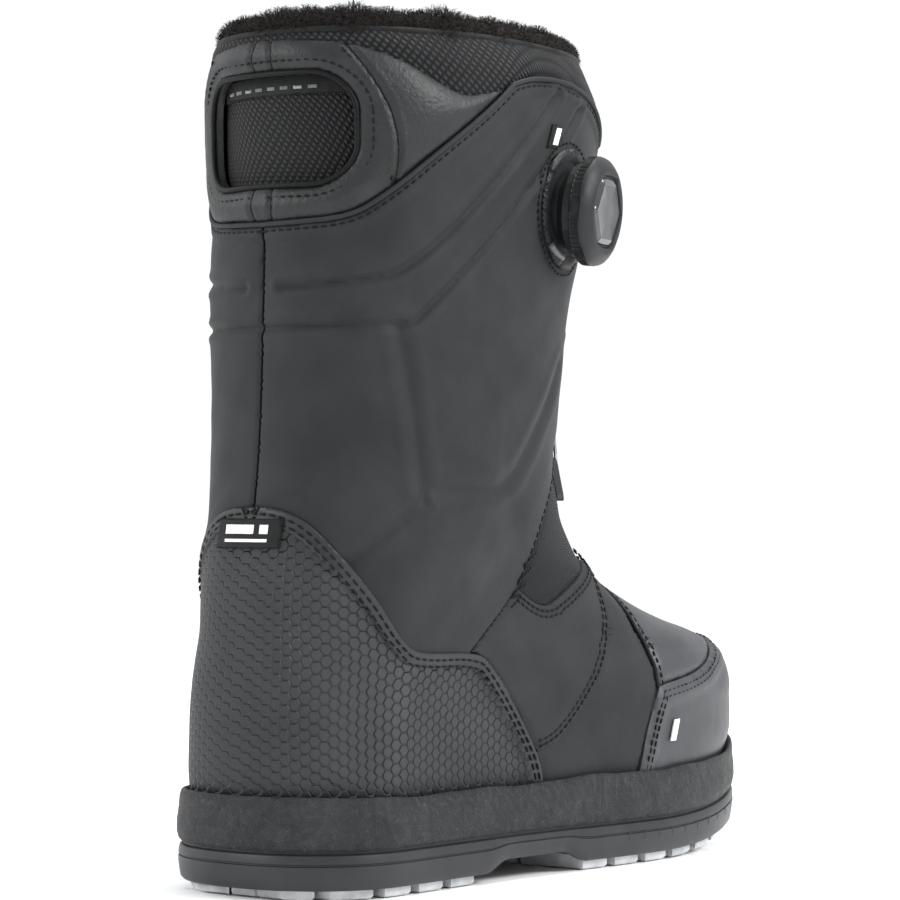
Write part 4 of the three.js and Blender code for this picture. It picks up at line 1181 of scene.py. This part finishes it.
def make_yoke():
    edge = join(side_line(YOKE_LOWER), side_line(YOKE_UPPER)[1:])
    loop = both_sides(edge)
    hole = window_outline()
    seams = [back_line([(side * w, z) for w, z in line]) for line in YOKE_MIDDLE for side in (1, -1)]
    seams += [side_line(YOKE_ARC, side) for side in (1, -1)]
    closed_hole = join(hole, hole[:1])

    def relief(at):
        puff = 3.4 * (1 - np.exp(-at["rim"] / 5.0))
        for line in seams:
            puff = puff + groove(at["point"], line, 0.9, 0.9)
        return puff + 0.5 * wrinkles(at["point"], 26, 71)

    yoke = panel("collar_yoke", [loop, hole], LEATHER, step=1.5, thick=3.4, lift=-0.2, relief=relief,
                 edge=1.4)
    declare(yoke, ["collar_yoke"])
    for k, line in enumerate(seams):
        point = surface(line[:, 0], line[:, 1])
        rim = np.minimum(distance_to(point, join(loop, loop[:1])), distance_to(point, closed_hole))
        height = relief({"rim": rim, "point": point}) - 0.2
        path = lifted(line[:, 0], line[:, 1], height)
        declare(tube(f"yoke_seam_{k + 1}", path, 0.42, THREAD))
    # The window's binding takes the near-black thread finish: painted shade for the shaded inner edge of the
    # window.
    path = lifted(closed_hole[:, 0], closed_hole[:, 1], np.full(len(closed_hole), 0.1))[:-1]
    declare(tube("window_binding_painted_shade", path, 1.0, THREAD, closed=True))
    piping_line = join(side_line(YOKE_LOWER), side_line(SHAFT_TOP)[1:])
    whole = join(mirrored(piping_line)[::-1], piping_line[1:])
    path = lifted(whole[:, 0], whole[:, 1], np.full(len(whole), 1.2))
    declare(tube("shaft_top_piping", path, 0.9, SHELL))
    ring = window_outline(4.2)
    rows = [join(ring, ring[:1])] + [shifted(seams[4], -1.9), shifted(seams[5], 1.9)]
    declare(stitches("yoke_stitching", rows, THREAD, lift=1.8, pitch=3.2, length=2.3, radius=0.38))


def tube(name, path, radius, material, closed=False, body="root", sides=10, flat=1.0):
    """A round cord of material along a path of points in millimetres."""
    path = np.asarray(path, float)
    tangent = np.roll(path, -1, 0) - np.roll(path, 1, 0) if closed else np.gradient(path, axis=0)
    tangent /= np.maximum(np.linalg.norm(tangent, axis=1, keepdims=True), 1e-9)
    side = np.cross(tangent[0], (0.0, 0.0, 1.0))
    if np.linalg.norm(side) < 0.1:
        side = np.cross(tangent[0], (1.0, 0.0, 0.0))
    points, turn = [], np.linspace(0, 2 * math.pi, sides, endpoint=False)
    for p, t in zip(path, tangent):
        side = side - t * np.dot(side, t)
        side /= np.linalg.norm(side)
        up = np.cross(t, side)
        points.append(p + radius * (np.cos(turn)[:, None] * side * flat + np.sin(turn)[:, None] * up))
    count = len(path)
    faces = []
    for i in range(count if closed else count - 1):
        j = (i + 1) % count
        for k in range(sides):
            m = (k + 1) % sides
            faces.append((i * sides + k, i * sides + m, j * sides + m, j * sides + k))
    if not closed:
        faces.append(tuple(reversed(range(sides))))
        faces.append(tuple((count - 1) * sides + k for k in range(sides)))
    thing = make_object(name, np.concatenate(points), faces, material, body, sharp=0)
    orient(thing)
    return thing


# ------------------------------------------------------------------ liner, collar and tongue

LINER_OUT, LINER_IN = 5.2, 10.6
BED_BASE, BED_TOP = 36.9, 40.6
RIM = 316.0


def sleeve(name, z_rows, limit, out_inset, in_inset, material, columns, body="root", front=False,
           bulge=None, hole=None):
    """A wall with an outer and an inner skin, from -limit to limit of the outline, or round the
    front. hole is a (share, z) outline inside which the wall is left open."""
    rows_out, rows_in, grain, where = [], [], [], []
    for z, reach in zip(z_rows, limit):
        t = np.linspace(-1, 1, columns)
        share = t * reach
        if front:
            share = np.where(t < 0, -1.0, 1.0) * (1 - np.abs(t) * (1 - reach))
        level = np.full(columns, z)
        puff = np.reshape(bulge(share) if bulge else 0.0, (-1, 1))
        rows_out.append(surface(share, level, out_inset) + normals(share, level) * puff)
        rows_in.append(surface(share, level, in_inset))
        grain.append(cloth_mm(share, level))
        where.append(np.stack([share, level], axis=1))
    count = len(z_rows)
    points = np.concatenate(rows_out + rows_in)
    faces = []
    total = count * columns
    is_open = inside(np.concatenate(where), [hole]) if hole is not None else np.zeros(total, bool)
    for r in range(count - 1):
        for c in range(columns - 1):
            a, b = r * columns + c, (r + 1) * columns + c
            if is_open[[a, a + 1, b, b + 1]].any():
                continue
            faces.append((a, a + 1, b + 1, b))
            faces.append((total + a + 1, total + a, total + b, total + b + 1))
        for c in (0, columns - 1):
            a, b = r * columns + c, (r + 1) * columns + c
            faces.append((a, b, total + b, total + a))
    for c in range(columns - 1):
        faces.append((c + 1, c, total + c, total + c + 1))
        top = (count - 1) * columns + c
        faces.append((top, top + 1, total + top + 1, total + top))
    thing = make_object(name, points, faces, material, body, grain=np.tile(np.concatenate(grain), (2, 1)))
    orient(thing)
    return thing


def make_backing():
    """The shell's fabric lining, which shows as the dark line in each open seam."""
    z_rows = np.linspace(31.5, 300, 110)
    limit = np.where(z_rows < 113, 1.0, throat_share(z_rows, -1.5))
    lining = sleeve("shell_lining", z_rows, limit, 1.7, 3.2, LABEL, columns=241, hole=window_outline(1.0))
    declare(lining)


def make_liner():
    z_foot = np.linspace(32.5, 118, 34)
    foot = sleeve("liner_foot", z_foot, np.full(34, 1.0), LINER_OUT, LINER_IN, KNIT, columns=181)
    declare(foot, ["liner_foot"])
    z_cuff = np.linspace(118.4, 300, 70)
    limit = np.where(z_cuff < 140, 1.0, throat_share(z_cuff, 3.5))
    cuff = sleeve("liner_cuff", z_cuff, limit, LINER_OUT, LINER_IN, KNIT, columns=181)
    declare(cuff, ["liner_cuff_lateral", "liner_cuff_medial", "liner_window_mesh"])
    rear = sleeve("liner_rear", np.linspace(296, 313, 9), np.full(9, 0.42), LINER_OUT + 0.4,
                  LINER_IN - 0.2, KNIT, columns=91)
    declare(rear)
    outer_edge = join(side_line(YOKE_UPPER[::-1])[:-1], side_line(SHAFT_TOP))
    z_top = 317.0
    reach = throat_share(np.array([z_top]), 0.5)[0]
    over = np.stack([np.linspace(reach, 0.0, 60), np.full(60, z_top)], axis=1)
    rise = throat_line(286, z_top, 0.5)
    lateral = join(shifted(outer_edge, -5.0), rise[1:], over[1:])
    loop = join(lateral, mirrored(lateral)[::-1][1:-1])

    def relief(at):
        return (4.2 * (1 - np.exp(-at["rim"] / 5.5)) + 0.3 * wrinkles(at["point"], 20, 81)
                - lean_back(at["share"], at["z"]))

    mesh = panel("liner_collar_mesh", [loop], KNIT, step=2.0, thick=7.0, lift=-2.2, relief=relief, edge=2.2)
    declare(mesh)
    tape = join(over, mirrored(over)[::-1][1:])
    path = lifted(tape[:, 0], tape[:, 1] - 1.5, -1.6 - lean_back(tape[:, 0], tape[:, 1]))
    declare(tube("collar_tape", path, 1.3, LABEL, flat=0.8))


def lean_back(share, z):
    """How far the collar draws in towards its rim at the front."""
    return 9.0 * smoothstep((np.abs(share) - 0.35) / 0.5) * smoothstep((z - 285) / 32)


def make_pile():
    count, ring = 260, 15
    z = RIM + 1.0
    reach = throat_share(np.array([z]), 1.0)[0]
    share = np.linspace(-reach, reach, count)
    turn = np.linspace(-0.25 * math.pi, 1.25 * math.pi, ring)
    middle, half_width, half_height = 8.0, 5.6, 5.6
    base = surface(share, np.full(count, z), middle + lean_back(share, z))
    outward = normals(share, np.full(count, z))
    outward[:, 2] = 0
    outward /= np.linalg.norm(outward, axis=1, keepdims=True)
    up = np.array([0, 0, 1.0])
    points = (base[:, None, :] + outward[:, None, :] * (np.cos(turn) * half_width)[None, :, None]
              + up * (np.sin(turn) * half_height)[None, :, None])
    flat = points.reshape(-1, 3)
    flat[:, 2] += 0.5 * wrinkles(flat, 9, 91)
    faces = [(i * ring + k, i * ring + k + 1, (i + 1) * ring + k + 1, (i + 1) * ring + k)
             for i in range(count - 1) for k in range(ring - 1)]
    faces += [(i + ring, i + 2 * ring - 1, i + ring - 1, i) for i in range(0, (count - 1) * ring, ring)]
    faces += [tuple(range(ring)), tuple(reversed(range((count - 1) * ring, count * ring)))]
    roll = make_object("liner_collar", flat, faces, PILE, sharp=0)
    orient(roll)
    declare(roll, ["liner_collar"])
    make_strands("collar_pile", base, outward, (middle, half_width, half_height))


def make_strands(name, base, outward, size):
    """Short curled fibres on the collar's roll, each a thin bent ribbon."""
    fibres = 26000
    _, half_width, half_height = size
    spot = rng.integers(0, len(base) - 1, fibres)
    along = rng.uniform(0, 1, (fibres, 1))
    root = base[spot] * (1 - along) + base[spot + 1] * along
    out = outward[spot]
    angle = rng.uniform(-0.15 * math.pi, 1.1 * math.pi, fibres)
    up = np.array([0, 0, 1.0])
    direction = out * (np.cos(angle) * half_width)[:, None] + up * (np.sin(angle) * half_height)[:, None]
    start = root + direction * 0.93
    direction /= np.linalg.norm(direction, axis=1, keepdims=True)
    curl = rng.normal(size=(fibres, 3))
    curl -= direction * np.sum(curl * direction, axis=1, keepdims=True)
    curl /= np.linalg.norm(curl, axis=1, keepdims=True)
    tuft = 1 + 0.45 * wrinkles(root, 11, 93)[:, None]
    length = rng.uniform(1.8, 3.8, (fibres, 1)) * np.clip(tuft, 0.5, 1.6)
    side = np.cross(direction, curl) * 0.13
    points = []
    for t, sway in ((0, 0), (0.45, 0.35), (0.8, 0.95), (0.75, 1.5)):
        centre = start + direction * length * t + curl * length * sway * 0.55
        points += [centre - side * (1 - 0.5 * t), centre + side * (1 - 0.5 * t)]
    stack = np.stack(points, axis=1).reshape(-1, 3)
    first = np.arange(fibres)[:, None] * 8
    faces = np.concatenate([first + np.array([0, 1, 3, 2]), first + np.array([2, 3, 5, 4]),
                            first + np.array([4, 5, 7, 6])])
    declare(make_object(name, stack, faces.tolist(), PILE, sharp=0))


def make_footbed():
    """The removable insole: flat underfoot, with a raised edge that cups the heel."""
    loop = outline_loop(-(LINER_IN + 1.2), 220)
    flat, triangles = fill([loop], 4.0)
    edge = np.array([np.hypot(*(loop - point).T).min() for point in flat])
    cup = 1 - smoothstep((flat[:, 0] - 90) / 60)
    top = BED_TOP + 3.2 * cup * np.exp(-((edge / 6.0) ** 2))
    points = [model_points(flat[:, 0], flat[:, 1], z) for z in (np.full(len(flat), BED_BASE), top)]
    count = len(flat)
    faces = triangles.tolist() + (triangles[:, ::-1] + count).tolist()
    faces += [(a, a + count, b + count, b) for a, b in border_edges(triangles)]
    bed = make_object("footbed", np.concatenate(points), faces, FOAM)
    orient(bed)
    declare(bed, ["footbed"])


def make_tongues():
    low = throat_line(124, 306, 2.0)
    loop = join(low, np.stack([np.linspace(low[-1, 0], 1, 12), np.full(12, 306.0)], axis=1)[1:])
    full = join(loop, mirrored(loop)[::-1][1:])
    padded_tongue = panel("shell_tongue", [full], SHELL, step=2.6, thick=2.6, lift=-1.4, toe=True, edge=1.2,
                          relief=lambda at: 0.5 * wrinkles(at["point"], 50, 95) - 0.3, body="tongue")
    declare(padded_tongue, ["shell_tongue"])
    z_rows = np.linspace(142, 312, 60)
    half = throat_share(z_rows, np.interp(z_rows, [142, 175, 205, 312], [-2.0, 1.0, 5.0, 5.0]))

    def puff(share):
        return 0.25 * np.cos(share * 40)

    inner = sleeve("liner_tongue", z_rows, half, LINER_OUT, LINER_IN, KNIT, columns=41, body="tongue",
                   front=True, bulge=puff)
    declare(inner, ["liner_tongue"])
    centre = surface(np.array([1.0]), np.array([312.0]), 8.0)[0]
    turn = np.linspace(0, 2 * math.pi, 40, endpoint=False)
    x = 6.6 * np.sign(np.cos(turn)) * np.abs(np.cos(turn)) ** 0.7
    z = 7.8 * np.sign(np.sin(turn)) * np.abs(np.sin(turn)) ** 0.7
    path = np.stack([x, np.zeros(40), z + 8.0], axis=1) + centre
    path[:, 1] += 0.6 * np.sin(turn)
    declare(tube("tongue_pull_loop", path, 1.4, LABEL, closed=True, body="tongue", flat=0.7),
            ["tongue_pull_loop"])


# ------------------------------------------------------------------ sole


def outline_loop(outward, count):
    share = np.linspace(-1, 1, count, endpoint=False)
    u, w = outline_uw(share, np.full(count, 31.0), np.full(count, -outward))
    return np.stack([u, w], axis=1)


def sole_plate(name, loop, low, high, material, rise):
    """The filled middle of a sole layer, in (u, w), between two heights."""
    flat, triangles = fill([loop], 7.0)
    points = []
    for z in (low, high):
        points.append(model_points(flat[:, 0], flat[:, 1], z + rise(flat[:, 0], z)))
    count = len(flat)
    faces = triangles.tolist() + (triangles[:, ::-1] + count).tolist()
    faces += [(a, a + count, b + count, b) for a, b in border_edges(triangles)]
    thing = make_object(name, np.concatenate(points), faces, material)
    orient(thing)
    return thing


def make_sole():
    lip = [(-2.0, 18.0), (4.6, 17.6), (5.6, 18.8), (6.2, 21.5), (6.1, 25.5), (5.5, 30.0), (4.7, 33.6),
           (3.9, 35.5), (3.1, 36.2), (2.3, 35.9), (1.0, 31.0), (-2.0, 31.0)]

    def drift(u, z):
        return (0.45 * np.sin(u / 11.0) + 0.5 * np.sin(u / 27.0 + 1.3) + 0.2 * np.sin(u / 4.7)) * (z > 33)

    cup = ringed("foxing_cup", lip, GRAINED, 420, drift)
    declare(cup, ["foxing_cup"])
    groove_line = [(3.2, 16.4), (3.9, 16.6), (3.9, 17.8), (3.2, 18.0)]
    declare(ringed("sole_groove", groove_line, NYLON, 300))
    carrier = [(-12.0, 5.5), (1.9, 5.4), (2.4, 3.6), (3.8, 3.5), (4.8, 4.6), (5.3, 7.6), (5.6, 10.0),
               (5.6, 12.2), (5.0, 12.5), (5.0, 12.9), (5.6, 13.2), (5.5, 14.6), (5.1, 16.2), (4.2, 16.8),
               (-12.0, 16.8)]

    def hollow(u, z):
        """The carrier's underside lifts under the arch."""
        low = np.clip((16 - z) / 10.7, 0, 1)
        arch = smoothstep((u - 92) / 14) * smoothstep((152 - u) / 14)
        return low * 4.5 * arch

    declare(ringed("midsole_carrier", carrier, SMOOTH, 420, hollow),
            ["midsole_carrier"])
    floor_loop = outline_loop(-8.0, 240)
    declare(sole_plate("carrier_floor", floor_loop, 6.2, 16.0, SMOOTH, hollow))
    make_sole_marks()


def make_sole_marks():
    """Small raised bars along both sides of the forefoot, each a block with a smaller face."""
    corners = ((-1, -1), (1, -1), (1, 1), (-1, 1))
    half_width, half_height = 0.55, 1.7
    points, faces = [], []
    for share in np.concatenate([share_at(np.arange(176, 290, 9.5), 31.0, side) for side in (1, -1)]):
        centre = surface(np.array([share]), np.array([11.0]), -5.55)[0]
        normal = normals(np.array([share]), np.array([40.0]))[0]
        normal[2] = 0
        normal /= np.linalg.norm(normal)
        along = np.array([-normal[1], normal[0], 0])
        start = len(points)
        for out, size in ((-0.2, 1.0), (0.15, 0.7)):
            for a, b in corners:
                rise = np.array([0, 0, b * size * half_height])
                points.append(centre + along * (a * size * half_width) + rise + normal * out)
        faces.append(tuple(start + k for k in (4, 5, 6, 7)))
        faces += [(start + k, start + (k + 1) % 4, start + 4 + (k + 1) % 4, start + 4 + k) for k in range(4)]
    declare(make_object("sole_marks", points, faces, SMOOTH))


# ------------------------------------------------------------------ dial

DIAL_FOOT = np.array([-56.3429, -84.0, 255.0])
DIAL_OUT = np.array([-0.957603, -0.274588, -0.087156])
DIAL_UP = np.array([0, 0, 1.0]) - DIAL_OUT * DIAL_OUT[2]
DIAL_UP /= np.linalg.norm(DIAL_UP)
DIAL_SIDE = np.cross(DIAL_UP, DIAL_OUT)


def six_sided(angle, softness=0.0):
    """Radius of a hexagon with flats at distance 1, and softer corners the higher the softness."""
    turn = np.mod(angle, math.pi / 3) - math.pi / 6
    return (1 / np.cos(turn)) * (1 - softness) + softness


def dial_piece(name, rows, material, body, columns=240):
    """A piece turned about the dial's axis. Each row is (height, radius) and may add a function of
    the angle that scales the radius."""
    angle = np.linspace(0, 2 * math.pi, columns, endpoint=False)
    points = []
    for height, radius, *shape in rows:
        reach = radius * (shape[0](angle) if shape else np.ones(columns))
        ring = DIAL_SIDE * (np.cos(angle) * reach)[:, None] + DIAL_UP * (np.sin(angle) * reach)[:, None]
        points.append(DIAL_FOOT + DIAL_OUT * height + ring)
    faces = []
    for r in range(len(rows) - 1):
        for i in range(columns):
            j = (i + 1) % columns
            faces.append((r * columns + i, r * columns + j, (r + 1) * columns + j, (r + 1) * columns + i))
    faces.append(tuple(reversed(range(columns))))
    faces.append(tuple((len(rows) - 1) * columns + i for i in range(columns)))
    thing = make_object(name, np.concatenate(points), faces, material, body, sharp=30)
    orient(thing)
    return thing


def make_dial():
    def grips(angle):
        """Short ribs in six groups, with a smooth gap between the groups."""
        group = smoothstep((np.abs(np.sin(3 * angle)) - 0.25) / 0.2)
        return 1 - 0.028 * group * (0.5 + 0.5 * np.cos(angle * 60))

    def edge(angle):
        return 1 + 0.012 * np.cos(6 * angle)

    def hexagon(angle):
        return six_sided(angle, 0.25)

    knob = [(9.0, 18.4), (8.7, 19.2), (8.8, 20.2), (9.3, 20.8), (9.6, 20.9, grips), (12.4, 20.9, grips),
            (12.8, 20.9), (13.6, 20.9, edge), (14.6, 20.4, edge), (16.0, 18.9, edge), (17.2, 17.2, edge),
            (17.6, 16.2), (17.6, 15.4), (17.4, 13.9, hexagon), (16.2, 13.4, hexagon), (16.1, 13.0, hexagon),
            (16.0, 4.0)]
    declare(dial_piece("dial_knob", knob, KNOB, "dial_knob", 360), ["dial_knob"])
    cap = [(15.6, 12.2, hexagon), (16.6, 12.5, hexagon), (16.9, 12.3, hexagon), (17.7, 10.4, six_sided),
           (17.55, 9.9, six_sided), (17.75, 3.0)]
    declare(dial_piece("dial_cap", cap, GLOSS, "dial_knob"), ["dial_cap"])
    neck = [(-9.0, 14.0), (2.0, 14.6), (5.1, 16.8)]
    declare(dial_piece("dial_neck", neck, NYLON, "root"))
    turn = np.linspace(0, 2 * math.pi, 64, endpoint=False)
    u = 128 + 19.5 * np.cos(turn)
    z = 255 + 23.0 * np.sin(turn)
    oval = np.stack([share_at(u, z), z], axis=1)

    def dish(at):
        return 1.7 - 2.2 * smoothstep((at["rim"] - 2.6) / 3.0)

    pod = panel("dial_pod", [oval], NYLON, step=1.6, thick=4.0, lift=1.2, relief=dish, edge=1.3)
    declare(pod, ["dial_pod"])
    u, z = 128 + 21.6 * np.cos(turn), 255 + 25.2 * np.sin(turn)
    outer = np.stack([share_at(u, z), z], axis=1)
    ring = join(outer, outer[:1])
    declare(stitches("dial_stitching", [ring], THREAD, lift=1.5, pitch=2.8, length=2.0))
    port = side_line([(113, 240.5), (117, 238.0), (122, 236.5)], 1, 1)
    path = lifted(port[:, 0], port[:, 1], np.full(len(port), 3.4))
    declare(tube("dial_port", path, 1.3, PORT_NYLON, flat=1.0))


# ------------------------------------------------------------------ lace


def make_lace():
    def reach(z):
        return throat_half(z) + 7.2

    def front(w, z):
        share = share_across(np.array([w]), np.array([float(z)]))
        return lifted(share, np.array([float(z)]), np.array([1.9]))[0]

    def lateral(u, z):
        share = share_at(np.array([u]), np.array([float(z)]))
        return lifted(share, np.array([float(z)]), np.array([1.9]))[0]

    knots = [lateral(144.0, 245), lateral(153.0, 243)]
    side = 1
    heights = [252, 202, 152]
    for row, z in enumerate(heights):
        for t in np.linspace(1, -1, 9):
            knots.append(front(side * t * reach(z), z))
        side = -side
        if row < 2:
            middle = (z + heights[row + 1]) / 2
            knots.append(front(side * (reach(middle) + 2), middle))
    knots = np.array(knots)
    run = np.concatenate([[0], np.cumsum(np.linalg.norm(np.diff(knots, axis=0), axis=1))])
    slopes = np.gradient(knots, run, axis=0)
    fine = np.arange(0, run[-1], 1.2)
    k = np.clip(np.searchsorted(run, fine, side="right") - 1, 0, len(run) - 2)
    gap = (run[k + 1] - run[k])[:, None]
    t = (fine[:, None] - run[k][:, None]) / gap
    path = ((2 * t**3 - 3 * t**2 + 1) * knots[k] + (t**3 - 2 * t**2 + t) * gap * slopes[k]
            + (3 * t**2 - 2 * t**3) * knots[k + 1] + (t**3 - t**2) * gap * slopes[k + 1])
    for name, sign in (("lateral", -1), ("medial", 1)):
        keep = path[:, 0] * sign > -0.7
        breaks = np.nonzero(np.diff(keep.astype(int)))[0] + 1
        pieces = zip(np.split(path, breaks), np.split(keep, breaks))
        runs = [part for part, on in pieces if on[0] and len(part) > 2]
        points, faces = [], []
        for part in runs:
            strand = tube("strand", part, 0.7, STEEL, sides=8)
            start = len(points)
            points += [v.co / MM for v in strand.data.vertices]
            faces += [tuple(start + i for i in f.vertices) for f in strand.data.polygons]
            bpy.data.objects.remove(strand)
        lace = make_object(f"lace_{name}", np.array(points), faces, STEEL, sharp=0)
        lace.parent = None
        declare(lace, ["lace"])
        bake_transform(lace)


# ------------------------------------------------------------------ labels


def patch(name, corners, material, slot, lift, drawn, nodes=()):
    """A small flat plate on the surface, drawn from the side or from the back."""
    loop = drawn(corners + corners[:1], *((1, 0) if drawn is side_line else ()))[:-1]
    declare(panel(name, [loop], material, step=0.9, thick=1.0, lift=lift, edge=0.4), nodes)


def rectangle(low_x, high_x, low_y, high_y):
    return [(low_x, low_y), (high_x, low_y), (high_x, high_y), (low_x, high_y)]


def make_labels():
    """Plain stand-ins for the lettering and marks: bars on the tag, dashes on the strip, one
    slanted bar on each badge."""
    woven = {"slot": "woven_label", "drawn": back_line}
    patch("heel_label", rectangle(-14.5, 14.5, 126, 137), LABEL, lift=2.7, nodes=["heel_label"], **woven)
    prints = {"bar_1": (-10, 3.5, 131.3, 134.6), "bar_2": (-10, 9.5, 128.3, 129.4),
              "dot": (6.0, 9.5, 131.3, 134.6)}
    for part, bounds in prints.items():
        patch(f"heel_label_{part}", rectangle(*bounds), PRINT, lift=3.1, **woven)
    strip_lift = -4.4
    patch("window_strip", rectangle(-33, 33, 292.5, 300), LABEL, lift=strip_lift, **woven)
    for k, left in enumerate(np.arange(-27.0, 24.0, 6.4)):
        patch(f"window_dash_{k + 1}", rectangle(left, left + 3.6, 294.6, 295.8), GREY_PRINT,
              lift=strip_lift + 0.5, **woven)
    badge = {"slot": "badge", "drawn": side_line}
    patch("shaft_badge", [(110.5, 277), (117.5, 277), (121, 286), (114, 286)], LABEL, lift=2.2,
          nodes=["shaft_badge"], **badge)
    patch("shaft_badge_mark", [(113.5, 278.3), (116.8, 278.3), (119.6, 284.8), (116.3, 284.8)], PRINT,
          lift=2.8, **badge)
    patch("toe_badge", [(206, 47), (209.6, 47), (212.6, 55.5), (209, 55.5)], PRINT, lift=2.0,
          nodes=["toe_badge"], **badge)


# ------------------------------------------------------------------ tread




def make_tread():
    """Grip blocks in rows across the sole, three to a row, each with softened lower edges."""
    points, faces = [], []
    heel_end, ball_start = 92.5, 152.5
    rows = [(u, u + 14.0) for u in np.arange(16.5, heel_end - 13, 19.0)] + [(7.5, 13.0)]
    rows += [(u, u + 14.0) for u in np.arange(ball_start, 287, 19.0)]
    for start_u, end_u in rows:
        for low, high in ((-1.0, -0.36), (-0.3, 0.3), (0.36, 1.0)):
            base = len(points)
            along = np.array([0, 0.06, 0.5, 0.94, 1.0]) * (end_u - start_u) + start_u
            ratio = np.array([0, 0.05, 0.5, 0.95, 1.0]) * (high - low) + low
            for level, (z, draw) in enumerate(((6.2, 0.0), (1.0, 0.0), (0.0, 1.0))):
                for i, u in enumerate(along):
                    ahead = np.clip((u - 235) / 60, 0, 1)
                    share = share_at(u, 31.0)
                    w_out = outline_uw(np.array([share]), np.array([31.0]), np.array([-1.6]))[1][0]
                    w_in = outline_uw(np.array([-share]), np.array([31.0]), np.array([-1.6]))[1][0]
                    middle, half = (w_out + w_in) / 2, (w_out - w_in) / 2 - 3.0 * ahead
                    for k, f in enumerate(ratio):
                        pull = draw * 0.7
                        du = pull * (1 if i == 0 else -1 if i == 4 else 0)
                        dw = pull * (1 if k == 0 else -1 if k == 4 else 0)
                        points.append(model_points(np.array(u + du), np.array(middle + f * half + dw),
                                                   np.array(float(z))))
            for level in range(2):
                for i in range(4):
                    for k in (0, 4):
                        a = base + level * 25 + i * 5 + k
                        faces.append((a, a + 5, a + 30, a + 25))
                for k in range(4):
                    for i in (0, 4):
                        a = base + level * 25 + i * 5 + k
                        faces.append((a, a + 1, a + 26, a + 25))
            for level in (0, 2):
                for i in range(4):
                    for k in range(4):
                        a = base + level * 25 + i * 5 + k
                        faces.append((a, a + 1, a + 6, a + 5))
    tread = make_object("tread_blocks", np.array(points), faces, TREAD, sharp=35)
    orient(tread)
    declare(tread, ["outsole_heel", "outsole_forefoot"])


# ------------------------------------------------------------------ finishes of the pieces kept from the frame

KEPT = {"dial_base": NYLON, "midsole_foam": FOAM, "shank": STEEL, "lasting_board": LABEL,
        "heel_counter_stiffener": NYLON, "toe_puff": NYLON, "dial_spool": NYLON, "dial_drive": NYLON,
        "dial_screw": STEEL}
KEPT |= {f"guide_{name}_{k}": NYLON for _, name in SIDES for k in (1, 2, 3)}


def finish_kept():
    for name, material in KEPT.items():
        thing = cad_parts[name]
        for slot in thing.material_slots:
            slot.material = material
        if not thing.material_slots:
            thing.data.materials.append(material)


make_counter()
for side, name in SIDES:
    make_shaft(side, name)
    make_quarter(side, name)
    make_gusset(side, name)
make_vamp()
make_toe()
make_yoke()
make_backing()
make_liner()
make_pile()
make_footbed()
make_tongues()
make_sole()
make_tread()
make_dial()
make_lace()
make_labels()
finish_kept()
